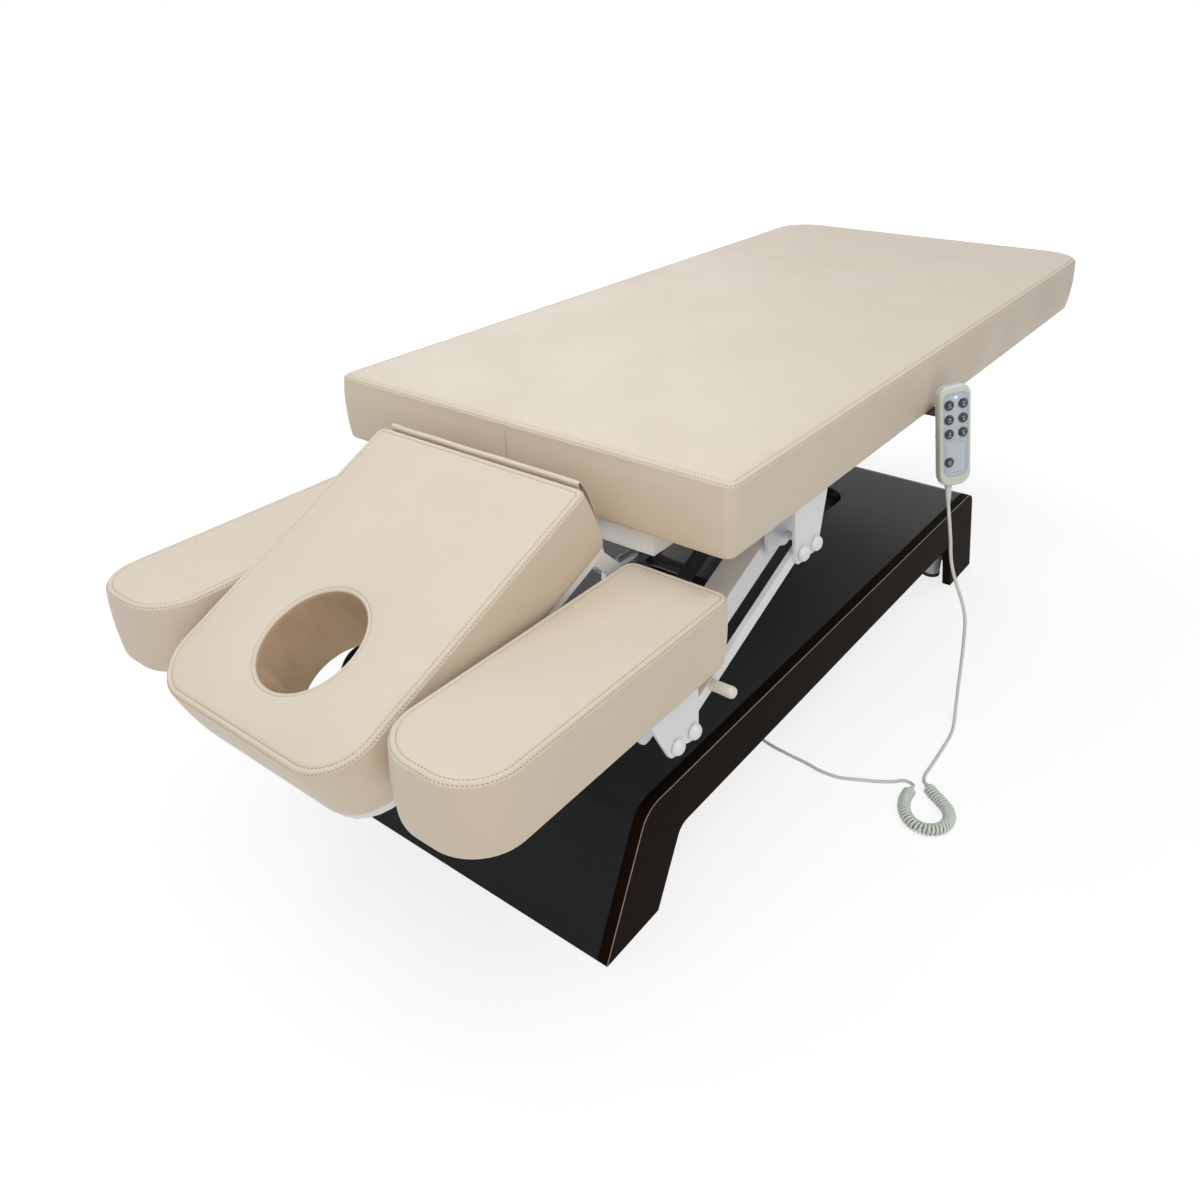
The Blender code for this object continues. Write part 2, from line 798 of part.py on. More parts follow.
def base_frame():
    """The welded frame: rails on posts, cross tubes, lift lugs, roller rails and motor saddle."""
    near, far = casing_rail_ends()
    low, high = base_rail_low, base_rail_low + base_rail_height
    half = base_rail_width / 2
    solids = []
    cuts = []
    for side in (-1, 1):
        solids.append(side_block(side, (near, far), (base_rail_y - half, base_rail_y + half), (low, high)))
    slot_low, slot_high = roller_radius + gap * 4, roller_radius + roller_play
    reach = base_rail_y - half + weld
    post_xs = []
    for side in (-1, 1):
        bar, slot, ends = roller_channel(side, lift_base_height, slot_low, slot_high)
        solids.append(bar)
        cuts.append(slot)
        bar_near, bar_far, bar_low, _ = ends
        post_xs = [bar_near, bar_far - half]
        for x in post_xs:
            post = ((x, x + half), (channel_y[0] + weld, channel_y[1] - weld), (high - weld, bar_low + weld))
            solids.append(side_block(side, *post))
    tubes = [near + half, *(x + half / 2 for x in post_xs), box_tube_x, motor_tube_x, lift_far_x, far - half]
    for x in tubes:
        solids.append(block((x - half, -reach, low + weld / 4), (x + half, reach, high - weld / 4)))
    for side in (-1, 1):
        for inner in (lug_y, outer_lug_y):
            y_span = spread(side, inner, inner + lug_thickness)
            foot = (lift_far_x, high - hub_radius - weld)
            solids.append(capsule((lift_far_x, lift_base_height), foot, hub_radius * 2, "y", *y_span))
    rod_height = lift_base_height - lift_crank_radius * math.cos(lift_pin_lag)
    saddle_low = (motor_tube_x - saddle_length / 2, -tube_radius, high - weld)
    saddle_high = (motor_tube_x + saddle_length / 2, tube_radius, rod_height - tube_radius - gap)
    solids.append(block(saddle_low, saddle_high))
    outer = base_rail_y + half - weld
    tab_high = high + side_tab_rise
    for side in (-1, 1):
        for x in (base_near_x + side_tab_length, base_far_x - side_tab_length * 2):
            x_span = (x - side_tab_length, x)
            upright = (outer - side_tab_thickness, outer)
            solids.append(side_block(side, x_span, upright, (high - weld, tab_high - weld)))
            flange = (outer - side_tab_thickness + weld, base_width / 2 - side_thickness - gap)
            solids.append(side_block(side, x_span, flange, (tab_high - side_tab_thickness, tab_high)))
        for x in foot_places():
            foot = (x, foot_y * side, foot_height + gap)
            solids.append(rod(foot, (x, foot_y * side, high + weld), foot_radius - weld))
    reach = outer_lug_y + lug_thickness * 2
    cuts.append(pivot_shaft(base_pivot, reach, shaft_radius + bore_gap))
    return welded(solids, cuts)


def pivot_shaft(place, reach, radius):
    start = Vector((place[0], -reach, place[2]))
    return rod(start, start + Vector((0, reach * 2, 0)), radius)


def crank(anchor, pin, y):
    """Two plates with a pin between them, which an actuator's yoke drives."""
    solids = []
    inner = yoke_thickness / 2 + crank_plate_gap
    outer = inner + crank_plate_thickness
    for side in (-1, 1):
        a, b = y + inner * side, y + outer * side
        solids.append(capsule(pin, anchor, crank_width, "y", min(a, b), max(a, b)))
    reach = inner + weld
    solids.append(rod((pin[0], y - reach, pin[1]), (pin[0], y + reach, pin[1]), crank_pin_radius, 12))
    return solids


def yoke_rod(pin, slot_low, slot_high, sense, y, axis_z):
    """An actuator's rod: it runs away from the pin in the given sense, with a slotted end."""
    x = pin[0]
    wide = crank_pin_radius + yoke_play
    wall = wide + yoke_wall
    plate_low = (x - wall, y - yoke_thickness / 2, slot_low - yoke_wall)
    plate_high = (x + wall, y + yoke_thickness / 2, slot_high + yoke_wall)
    plate = block(plate_low, plate_high)
    slot = block((x - wide, y - yoke_thickness, slot_low), (x + wide, y + yoke_thickness, slot_high))
    tail = x + sense * (tube_setback + tube_length * 0.8)
    bar = rod((x + sense * (wall - weld), y, axis_z), (tail, y, axis_z), rod_radius)
    return welded([plate, bar], [slot])


def actuator_housing(pin_x, sense, y, axis_z, motor_side):
    """The tube that an actuator's rod slides in, with the gearmotor beside its closed end."""
    mouth = pin_x + sense * tube_setback
    back = mouth + sense * tube_length
    tube = rod((mouth, y, axis_z), (back, y, axis_z), tube_radius, 14)
    near_motor = back - sense * motor_length
    x_span = (min(near_motor, back - sense * weld), max(near_motor, back - sense * weld))
    inner = tube_radius - weld * 3
    y_span = sorted((y + motor_side * inner, y + motor_side * (inner + motor_width)))
    low = (x_span[0], y_span[0], axis_z - tube_radius + weld)
    high = (x_span[1], y_span[1], axis_z - tube_radius + weld + motor_height)
    motor = rounded_block(low, high, motor_width / 6, "x")
    bore_end = back - sense * tube_wall * 2
    bore = rod((mouth - sense * overrun, y, axis_z), (bore_end, y, axis_z), rod_radius + bore_gap)
    return welded([tube, motor], [bore])


def outer_lift_arms():
    """The outer arms, from the fixed pivot in the base up to the rollers under the bed's head end."""
    solids = []
    half = lift_bar_width / 2
    for side in (-1, 1):
        y_span = spread(side, outer_arm_y - half, outer_arm_y + half)
        ends = ((base_pivot.x, base_pivot.z), (top_roller.x, top_roller.z))
        solids.append(capsule(*ends, lift_bar_depth, "y", *y_span))
    solids.append(rod_across(base_pivot.x, base_pivot.z, (-outer_arm_y, outer_arm_y), hub_radius))
    pin = lift_pin()
    solids += crank((base_pivot.x, base_pivot.z), pin, 0)
    middle = base_pivot.lerp(top_roller, 0.5)
    reach = outer_arm_y + lift_bar_width
    cuts = [pivot_shaft(place, reach, shaft_radius + bore_gap) for place in (base_pivot, top_roller)]
    for side in (-1, 1):
        y_span = spread(side, outer_arm_y - half - overrun, outer_arm_y + half + overrun)
        radius = centre_pin_radius + centre_pin_play
        cuts.append(rod_across(middle.x, middle.z, y_span, radius))
    return welded(solids, cuts)


def inner_lift_arms():
    """The inner arms, from the fixed pivot under the bed's foot end down to the rollers in the base."""
    solids = []
    half = lift_bar_width / 2
    for side in (-1, 1):
        y_span = spread(side, inner_arm_y - half, inner_arm_y + half)
        ends = ((top_pivot.x, top_pivot.z), (base_roller.x, base_roller.z))
        solids.append(capsule(*ends, lift_bar_depth, "y", *y_span))
    solids.append(rod_across(top_pivot.x, top_pivot.z, (-inner_arm_y, inner_arm_y), hub_radius * 0.9))
    for share in lift_tie_shares:
        tie = top_pivot.lerp(base_roller, share)
        solids.append(rod_across(tie.x, tie.z, (-inner_arm_y, inner_arm_y), lift_tie_radius, 12))
    middle = top_pivot.lerp(base_roller, 0.5)
    for side in (-1, 1):
        inner, outer = inner_arm_y, outer_arm_y + half + gap
        y_span = spread(side, inner, outer + weld)
        solids.append(rod_across(middle.x, middle.z, y_span, centre_pin_radius, 12))
        washer = spread(side, outer, outer + flange_thickness / 2)
        solids.append(rod_across(middle.x, middle.z, washer, centre_washer_radius, 12))
    reach = inner_arm_y + lift_bar_width
    cuts = [pivot_shaft(place, reach, shaft_radius + bore_gap) for place in (top_pivot, base_roller)]
    return welded(solids, cuts)


def roller_shaft(place):
    """A shaft with a roller at each end."""
    solids = [pivot_shaft(place, roller_y[1] + weld, shaft_radius)]
    for side in (-1, 1):
        y_span = spread(side, *roller_y)
        solids.append(rod_across(place.x, place.z, y_span, roller_radius, 16))
    return welded(solids)


def lift_pin():
    x = base_pivot.x + lift_crank_radius * math.sin(lift_pin_lag)
    return (x, base_pivot.z - lift_crank_radius * math.cos(lift_pin_lag))


def head_pin():
    x = head_hinge.x + head_crank_radius * math.sin(head_pin_lag)
    return (x, head_hinge.z - head_crank_radius * math.cos(head_pin_lag))


def foot_pin():
    x = foot_hinge.x - foot_crank_radius * math.sin(foot_pin_lag)
    return (x, foot_hinge.z - foot_crank_radius * math.cos(foot_pin_lag))


def yoke_slot(pivot_z, radius, pin_z):
    """Lower and upper end of a yoke's slot, from the pin's lowest and highest places."""
    return pivot_z - radius - crank_pin_radius - yoke_end_play, pin_z + crank_pin_radius + yoke_end_play


def top_frame():
    """The welded frame under the cushions, with the lugs of the lift, headrest and foot section."""
    half = rail_width / 2
    low, high = frame_bottom, frame_top
    rail_end = foot_hinge.x + hinge_pin_radius * 2
    solids = []
    cuts = []
    for side in (-1, 1):
        y_span = (rail_y - half, rail_y + half)
        solids.append(side_block(side, (head_tube_x + weld, rail_end), y_span, (low, high)))
    reach = rail_y - half + weld
    tube_low, tube_high = low + weld / 4, high - weld / 4
    tube_end = (head_tube_x + head_tube_width, reach + half, tube_high)
    solids.append(block((head_tube_x, -reach - half, tube_low), tube_end))
    slot_low, slot_high = roller_radius + roller_play, roller_radius + gap * 4
    for side in (-1, 1):
        bar, slot, ends = roller_channel(side, lift_top_height, slot_low, slot_high)
        solids.append(bar)
        cuts.append(slot)
        bar_near, bar_far, _, _ = ends
    end_tube_x = lift_far_x + hub_radius * 1.5
    places = [bar_near - cross_tube_width + weld, bar_far - weld, middle_tube_x, end_tube_x]
    for x in places:
        solids.append(block((x, -reach, tube_low), (x + cross_tube_width, reach, tube_high)))
    lug_width = shaft_radius * 3.4
    for side in (-1, 1):
        y_span = spread(side, lug_y, lug_y + lug_thickness)
        tail = (end_tube_x + cross_tube_width / 2, low + lug_width / 2 + weld)
        solids.append(capsule((lift_far_x, lift_top_height), tail, lug_width, "y", *y_span))
        inner = head_lug_y + head_lug_width / 2 + gap
        y_span = spread(side, inner, inner + head_lug_width)
        tail = (head_tube_x + head_tube_width / 2, head_hinge.z)
        solids.append(capsule((head_hinge.x, head_hinge.z), tail, head_barrel_radius * 2, "y", *y_span))
    for pin, sense, y in ((head_pin(), 1, head_actuator_y), (foot_pin(), -1, foot_actuator_y)):
        middle = pin[0] + sense * (tube_setback + tube_length * 0.32)
        x_span = (middle - saddle_length / 2, middle + saddle_length / 2)
        seat = pin[1] + tube_radius + gap
        solids.append(block((x_span[0], y - tube_radius, seat), (x_span[1], y + tube_radius, low + weld)))
        y_span = spread(1 if y > 0 else -1, abs(y) - tube_radius - weld, reach + weld)
        bracket_end = (x_span[1] + weld, y_span[1], tube_high)
        solids.append(block((x_span[0] - weld, y_span[0], tube_low), bracket_end))
    cuts.append(pivot_shaft(top_pivot, lug_y * 1.5, shaft_radius + bore_gap))
    for side in (-1, 1):
        y_span = spread(side, head_lug_y, head_lug_y + head_lug_width * 2)
        cuts.append(rod_across(head_hinge.x, head_hinge.z, y_span, head_pin_radius + bore_gap))
        y_span = spread(side, rail_y - rail_width, bed_width / 2)
        cuts.append(rod_across(foot_hinge.x, foot_hinge.z, y_span, hinge_pin_radius + bore_gap))
    return welded(solids, cuts)



def board_under(outline_at, bottom, thickness):
    """The board in the pocket under a cushion."""
    return prism(outline_at(cushion_lip + gap, bottom + thickness), "z", bottom, bottom + thickness - gap)


def foot_frame():
    """The foot section's frame, its hinge pins and the crank of its motor."""
    low, high = frame_bottom, frame_top
    half = foot_rail_width / 2
    end = foot_hinge.x + foot_rail_reach
    start = foot_hinge.x + frame_height / 2
    barrel = hinge_pin_radius * 1.9
    solids = []
    for side in (-1, 1):
        solids.append(side_block(side, (start, end), (foot_rail_y - half, foot_rail_y + half), (low, high)))
        y_span = spread(side, foot_rail_y - half, foot_rail_y + half)
        tail = (start + frame_height / 2, foot_hinge.z)
        solids.append(capsule((foot_hinge.x, foot_hinge.z), tail, barrel * 2, "y", *y_span))
        y_span = spread(side, foot_rail_y, rail_y + rail_width / 2 - weld)
        solids.append(rod_across(foot_hinge.x, foot_hinge.z, y_span, hinge_pin_radius))
    reach = foot_rail_y - half + weld
    for x in (start + frame_height, end - cross_tube_width):
        tube_end = (x + cross_tube_width - weld, reach, high - weld / 4)
        solids.append(block((x, -reach, low + weld / 4), tube_end))
    anchor = (start + frame_height + cross_tube_width / 2, low + crank_width / 2)
    solids += crank(anchor, foot_pin(), foot_actuator_y - foot_rail_width - crank_width)
    return welded(solids)


def headrest_frame():
    """The white plate under the headrest, level and about its hinge, with its lugs and crank."""
    low = head_seat - gap - head_plate_thickness
    plate = prism(head_outline(head_plate_inset, 1), "z", low, head_seat - gap)
    solids = [plate]
    for side in (-1, 1):
        y_span = spread(side, head_lug_y - head_lug_width / 2, head_lug_y + head_lug_width / 2)
        tail = (-head_rear_gap - head_barrel_radius * 3, head_seat - gap * 2 - head_barrel_radius)
        solids.append(capsule((0, 0), tail, head_barrel_radius * 2, "y", *y_span))
        y_span = spread(side, head_lug_y, head_lug_y + head_lug_width * 1.5)
        solids.append(rod((0, y_span[0], 0), (0, y_span[1], 0), head_pin_radius))
    angle = head_pin_lag - head_tilt
    pin = (head_crank_radius * math.sin(angle), -head_crank_radius * math.cos(angle))
    anchor = (-head_rear_gap - head_barrel_radius * 2, head_seat - gap * 2 - crank_width / 2)
    solids += crank(anchor, pin, head_actuator_y)
    cut = prism(hole_ring(head_plate_inset, 28), "z", low - crank_width, head_seat + overrun)
    return welded(solids, [cut])


# Armrest linkage, on the +Y side

def link_points():
    upper_a = Vector(pivot_a)
    upper_b = upper_a + Vector((pivot_spread, 0))
    step = Vector((-link_run, -link_rise))
    return upper_a, upper_b, upper_a + step, upper_b + step


def bracket_plate(a, b, flange_x, top, inner, outer):
    """A bracket's plate: wide at the flange, down to two round lobes at the pivots."""
    outline = []
    steps = 4
    for pivot, first, last in ((a, 200, 290), (b, 250, 340)):
        for k in range(steps + 1):
            angle = math.radians(first + (last - first) * k / steps)
            outline.append((pivot.x + lobe_radius * math.cos(angle), pivot.y + lobe_radius * math.sin(angle)))
        if pivot is a:
            outline.append(((a.x + b.x) / 2, a.y - lobe_radius * 0.62))
    under = top - flange_thickness
    outline += [(flange_x[1], under), (flange_x[1], top), (flange_x[0], top), (flange_x[0], under)]
    return prism(outline, "y", inner, outer)


def armrest_bracket(a, b, index, top, inner_edge, pin_reach):
    """A bracket with three plates under a flange, and the bores for the links' pins."""
    x0 = a.x + flange_start[index]
    flange_x = (x0, x0 + flange_length[index])
    solids = [block((flange_x[0], inner_edge, top - flange_thickness), (flange_x[1], plate_y, top))]
    for y in (inner_plate_y, middle_plate_y, plate_y - plate_thickness):
        solids.append(bracket_plate(a, b, flange_x, top - weld / 4, y, y + plate_thickness - weld / 8))
    bore = pin_radius + bore_gap
    outer_bore = rod_across(a.x, a.y, (middle_plate_y + plate_thickness * 2, plate_y + overrun), bore)
    inner_bore = rod_across(b.x, b.y, (inner_edge - overrun, pin_reach), bore)
    return welded(solids, [outer_bore, inner_bore])


def pin_with_head(point, start, head_start):
    """A pivot pin from inside a link out to a round head outside a plate."""
    pin = rod_across(point.x, point.y, (start, head_start + weld), pin_radius, 12)
    head = rod_across(point.x, point.y, (head_start, head_start + pin_head_length), pin_head_radius, 12)
    return [pin, head]


def flat_link():
    """The outer link with its two pins and the bore for the lock knob's stem."""
    a1, _, a2, _ = link_points()
    outer = plate_y - plate_thickness - gap
    solids = [capsule(a2, a1, flat_link_height, "y", outer - flat_link_thickness, outer)]
    for point in (a1, a2):
        solids += pin_with_head(point, outer - flat_link_thickness / 2, plate_y + gap)
    knob = knob_place()
    y_span = (outer - flat_link_thickness * 2, outer + overrun)
    bore = rod_across(knob.x, knob.y, y_span, knob_stem_radius + bore_gap)
    return welded(solids, [bore])


def knob_place():
    a1, _, a2, _ = link_points()
    return a2 + (a1 - a2).normalized() * knob_from_pivot


def lock_knob():
    """The sprung pull knob that locks the armrest: a stem through the link and a round grip."""
    point = knob_place()
    outer = plate_y - plate_thickness - gap
    stem_start = outer - flat_link_thickness - knob_stem_radius
    grip_start = outer + gap
    stem = rod_across(point.x, point.y, (stem_start, grip_start + weld), knob_stem_radius, 12)
    build = []
    length = knob_length
    profile = ((0, 0.62), (0.06, 0.80), (0.22, 0.70), (0.55, 0.86), (0.82, 1), (0.93, 0.86), (1, 0.45))
    for along, wide in profile:
        y = grip_start + length * along
        ring = []
        for k in range(14):
            angle = math.tau * k / 14
            radius = knob_radius * wide
            ring.append((point.x + radius * math.cos(angle), y, point.y + radius * math.sin(angle)))
        build.append(ring)
    return welded([loft(build), stem])


def box_link():
    """The inner link: a square tube with its two pins."""
    _, b1, _, b2 = link_points()
    along = (b1 - b2).normalized()
    across = Vector((-along.y, along.x))
    start, end = b2 - along * box_link_overhang, b1 + along * box_link_overhang
    half = box_link_height / 2
    outline = [start - across * half, end - across * half, end + across * half, start + across * half]
    corner = box_link_height / 8
    outline = fillet([tuple(point) for point in outline], [corner] * 4, 4)
    solids = [prism(outline, "y", box_link_inner_y, box_link_outer_y)]
    inner_end = inner_plate_y - gap - plate_thickness / 2
    for point, outer in ((b1, plate_y + gap), (b2, middle_plate_y + plate_thickness + gap)):
        solids.append(rod_across(point.x, point.y, (inner_end, outer + weld), pin_radius, 12))
    head_span = (plate_y + gap, plate_y + gap + pin_head_length)
    solids.append(rod_across(b1.x, b1.y, head_span, pin_head_radius, 12))
    return welded(solids)


# Handset

def handset_frame():
    """Where the handset's own axes stand: X along a row, Y into the housing, Z up."""
    yaw = Matrix.Rotation(handset_yaw, 4, "Z")
    pitch = Matrix.Rotation(handset_pitch, 4, "X")
    turn = yaw @ pitch @ Matrix.Rotation(handset_roll, 4, "Y")
    return Matrix.Translation((*handset_place, bed_height - handset_drop)) @ turn


def button_places():
    places = []
    half = button_pitch / 2
    for row in (2, 1, 0):
        places.append((-half, row * button_pitch))
        places.append((half, row * button_pitch))
    places.append((-half, -2 * button_pitch))
    return places


def plate_outline(half_width, low, high, top_radius, bottom_radius, inset=0):
    half = half_width - inset
    corners = [(-half, low + inset), (half, low + inset), (half, high - inset), (-half, high - inset)]
    radii = [bottom_radius - inset, bottom_radius - inset, top_radius - inset, top_radius - inset]
    return fillet(corners, radii, 5)


def handset_shell():
    """The housing with rounded edges, the recess for the panel, button wells and the back clip."""
    low = -handset_below_row
    high = low + handset_length
    half = handset_width / 2
    depth = handset_thickness
    edge = handset_edge_round
    rings = []
    front = [(0, edge), (edge * 0.3, edge * 0.3), (edge, 0)]
    for y, inset in front + [(depth - y, inset) for y, inset in reversed(front)]:
        outline = plate_outline(half, low, high, handset_corner_radius, handset_corner_radius * 1.3, inset)
        rings.append([(x, y, z) for x, z in outline])
    solids = [loft(rings)]
    clip_start = depth + clip_gap
    clip_low = clip_top - clip_length
    clip_half = clip_width / 2
    tongue_end = (clip_half, clip_start + clip_thickness, clip_top)
    solids.append(block((-clip_half, clip_start, clip_low), tongue_end))
    bridge_start = (-clip_half, depth - weld, clip_top - clip_thickness)
    solids.append(block(bridge_start, (clip_half, clip_start + weld, clip_top)))
    ends = (panel_bottom - gap, panel_top + gap)
    panel_cut = plate_outline(panel_width / 2 + gap, *ends, panel_radius, panel_radius * 1.4)
    cuts = [prism(panel_cut, "y", -overrun, panel_thickness + gap)]
    well = panel_thickness + button_foot + button_travel + button_play
    for x, z in button_places():
        cuts.append(rod_across(x, z, (-overrun, well), button_radius + button_play, 12))
    return welded(solids, cuts)


def handset_panel():
    outline = plate_outline(panel_width / 2, panel_bottom, panel_top, panel_radius, panel_radius * 1.4)
    y_span = (-overrun, panel_thickness + overrun)
    bore = button_radius + button_play
    cuts = [rod_across(x, z, y_span, bore, 12) for x, z in button_places()]
    return welded([prism(outline, "y", 0, panel_thickness)], cuts)


def round_ring(centre, radius, count=12):
    """Points round a middle, as pairs."""
    ring = []
    for k in range(count):
        angle = math.tau * k / count
        ring.append((centre[0] + radius * math.cos(angle), centre[1] + radius * math.sin(angle)))
    return ring


def button(place):
    x, z = place
    rings = []
    for y, share in ((button_foot + panel_thickness, 1), (-button_height * 0.7, 1), (-button_height, 0.78)):
        rings.append([(a, y, b) for a, b in round_ring((x, z), button_radius * share)])
    return loft(rings)


def strain_relief():
    """The tapered sleeve where the cord leaves the handset."""
    top = -handset_below_row - gap
    middle = handset_thickness / 2
    rings = []
    collar = relief_radius * 1.25
    for share, radius in ((0, relief_radius), (0.12, collar), (0.24, relief_radius), (1, relief_tip_radius)):
        z = top - relief_length * share
        rings.append([(a, b, z) for a, b in round_ring((relief_offset, middle), radius)])
    return loft(rings)


def handset_hook():
    """The steel hook under the bed: a tongue in the handset's clip and a flange under the board."""
    place = handset_frame()
    low = clip_top - clip_length - hook_thickness * 2
    start = handset_thickness + (clip_gap - hook_thickness) / 2
    foot = low - hook_thickness
    end = start + hook_tail
    tongue_top = clip_top - clip_thickness - gap * 2
    back = start + hook_thickness
    outline = [(start, foot), (end, foot), (end, low), (back, low), (back, tongue_top), (start, tongue_top)]
    tongue = prism(outline, "x", -hook_width / 2, hook_width / 2)
    tongue.transform(place)
    tail = place @ Vector((0, start + hook_tail * 0.85, foot))
    half = bracket_width / 2
    top = frame_top
    side = hook_thickness
    ends = (tail.y, tail.y + side, tail.y + bracket_reach)
    foot = tail.z + weld
    outline = [(ends[0], foot), (ends[1], foot), (ends[1], top - side), (ends[2], top - side)]
    outline += [(ends[2], top), (ends[0], top)]
    flange = prism(outline, "x", tail.x - half, tail.x + half)
    return welded([tongue, flange])


# Cord

def smooth_path(points, spacing):
    """A smooth curve through some points, read at even steps."""
    points = [Vector(point) for point in points]
    padded = [points[0] * 2 - points[1], *points, points[-1] * 2 - points[-2]]
    fine = []
    for i in range(1, len(padded) - 2):
        p0, p1, p2, p3 = padded[i - 1:i + 3]
        t1 = (p1 - p0).length ** 0.5
        t2 = t1 + (p2 - p1).length ** 0.5
        t3 = t2 + (p3 - p2).length ** 0.5
        for k in range(24):
            t = t1 + (t2 - t1) * k / 24
            a1 = p0 * ((t1 - t) / t1) + p1 * (t / t1)
            a2 = p1 * ((t2 - t) / (t2 - t1)) + p2 * ((t - t1) / (t2 - t1))
            a3 = p2 * ((t3 - t) / (t3 - t2)) + p3 * ((t - t2) / (t3 - t2))
            b1 = a1 * ((t2 - t) / t2) + a2 * (t / t2)
            b2 = a2 * ((t3 - t) / (t3 - t1)) + a3 * ((t - t1) / (t3 - t1))
            fine.append(b1 * ((t2 - t) / (t2 - t1)) + b2 * ((t - t1) / (t2 - t1)))
    fine.append(points[-1])
    lengths = [0.0]
    for here, there in zip(fine, fine[1:]):
        lengths.append(lengths[-1] + (there - here).length)
    count = max(2, round(lengths[-1] / spacing))
    even = []
    index = 0
    for k in range(count + 1):
        target = lengths[-1] * k / count
        while index < len(lengths) - 2 and lengths[index + 1] < target:
            index += 1
        span = lengths[index + 1] - lengths[index]
        share = (target - lengths[index]) / span if span else 0
        even.append(fine[index].lerp(fine[index + 1], share))
    return even


def cord_path(points, spacing):
    """A cord's points: smooth between its ends, whose first stretch runs straight."""
    return [Vector(points[0]), *smooth_path(points[1:-1], spacing), Vector(points[-1])]


def tube_along(name, points, radius, detail, carrier, look):
    """A cord along some points, with closed ends."""
    curve = bpy.data.curves.new(name, "CURVE")
    curve.dimensions = "3D"
    curve.bevel_depth = radius
    curve.bevel_resolution = detail
    curve.use_fill_caps = True
    line = curve.splines.new("POLY")
    line.points.add(len(points) - 1)
    for knot, point in zip(line.points, points):
        knot.co = (*point, 1)
    curve.materials.append(finish(look))
    piece = bpy.data.objects.new(name, curve)
    scene.collection.objects.link(piece)
    curve.transform(carrier.matrix_world.inverted())
    piece.parent = carrier
    return piece


def coil_points():
    """The curls, wound round their middle line, with a straight start and end."""
    path = smooth_path(coil_route(), curl_step)
    count = len(path) - 1
    steps = curl_count * curl_points
    up = Vector((0, 0, 1))
    points = []
    for k in range(steps + 1):
        share = k / steps
        index = min(int(share * count), count - 1)
        centre = path[index].lerp(path[index + 1], share * count - index)
        before, after = path[max(index - 1, 0)], path[min(index + 2, count)]
        along = (after - before).normalized()
        side = along.cross(up).normalized()
        turn = math.tau * curl_count * share
        ramp = min(1, share * curl_count / 0.75, (1 - share) * curl_count / 0.75)
        radius = curl_radius * ramp
        points.append(centre + (side * math.sin(turn) - up * math.cos(turn)) * radius)
    first = (path[1] - path[0]).normalized()
    last = (path[-1] - path[-2]).normalized()
    points.insert(0, points[0] - first * curl_wire_radius * 2)
    points.append(points[-1] + last * curl_wire_radius * 2)
    return points


def least_self_gap(points, radius, apart):
    """The smallest clear distance between parts of a tube that aren't neighbours along it."""
    least = 1.0
    for i in range(len(points)):
        for j in range(i + apart, len(points)):
            least = min(least, (points[i] - points[j]).length)
    return least - radius * 2


def coil_route():
    flat = [(0.400, -0.527), (0.389, -0.540), (0.378, -0.558), (0.363, -0.576), (0.344, -0.584)]
    flat += [(0.323, -0.582), (0.307, -0.570), (0.301, -0.553), (0.307, -0.533), (0.325, -0.517)]
    flat += [(0.350, -0.508), (0.375, -0.507)]
    return [(x, y, coil_height) for x, y in flat]


def hanging_route():
    """From the strain relief down to the floor, back along it and up to the curls' height."""
    place = handset_frame()
    end = -handset_below_row - relief_length - gap * 2
    start = place @ Vector((relief_offset, handset_thickness / 2, end))
    second = place @ Vector((relief_offset, handset_thickness / 2, end - cord_radius * 3))
    z = floor_line
    air_shares = [(0.608, -0.427, 0.832), (0.612, -0.4335, 0.740), (0.618, -0.446, 0.647)]
    air_shares += [(0.623, -0.461, 0.566), (0.629, -0.471, 0.486), (0.633, -0.476, 0.382)]
    air_shares += [(0.633, -0.480, 0.277), (0.628, -0.485, 0.160), (0.615, -0.492, 0.062)]
    air_shares += [(0.594, -0.500, 0.0165)]
    air = [(x, y, start.z * share) for x, y, share in air_shares]
    flat = [(0.570, -0.505), (0.546, -0.507), (0.505, -0.5085), (0.464, -0.5095), (0.434, -0.510)]
    floor = [(x, y, z) for x, y in flat]
    coil = [Vector(point) for point in coil_route()]
    into = (coil[1] - coil[0]).normalized()
    meet = coil[0] - into * (curl_wire_radius * 2 + gap * 2)
    before = meet - into * cord_radius * 3
    return [start, second, *air, *floor, before, meet]


def floor_route():
    """From the end of the curls under the base to the control box."""
    coil = [Vector(point) for point in coil_route()]
    out = (coil[-1] - coil[-2]).normalized()
    meet = coil[-1] + out * (curl_wire_radius * 2 + gap * 2)
    after = meet + out * cord_radius * 3
    z = floor_line
    flat = [(0.398, -0.5035), (0.402, -0.494), (0.3985, -0.485), (0.389, -0.476), (0.378, -0.463)]
    flat += [(0.367, -0.445), (0.354, -0.421), (0.341, -0.395), (0.337, -0.361), (0.341, -0.334)]
    flat += [(0.343, -0.298), (0.351, -0.243)]
    gland = control_y - control_width / 2 - gland_length - gap
    height = control_floor() + control_height / 2
    tail = [(gland_x, -0.205, z + 0.012), (gland_x, -0.182, height - 0.018)]
    tail += [(gland_x, gland - cord_radius * 3, height), (gland_x, gland, height)]
    return [meet, after, *[(x, y, z) for x, y in flat], *tail]


def control_floor():
    return base_rail_low + base_rail_height + gap


def control_box():
    """The closed box with the lift's electronics, and the gland for the handset's cord."""
    low = control_floor()
    x0 = box_tube_x - control_length / 2
    y0 = control_y - control_width / 2
    case_end = (x0 + control_length, y0 + control_width, low + control_height)
    case = rounded_block((x0, y0, low), case_end, control_height / 8)
    height = low + control_height / 2
    gland = rod((gland_x, y0 - gland_length, height), (gland_x, y0 + weld, height), gland_radius, 14)
    return welded([case, gland])


# Bodies, each on its joint

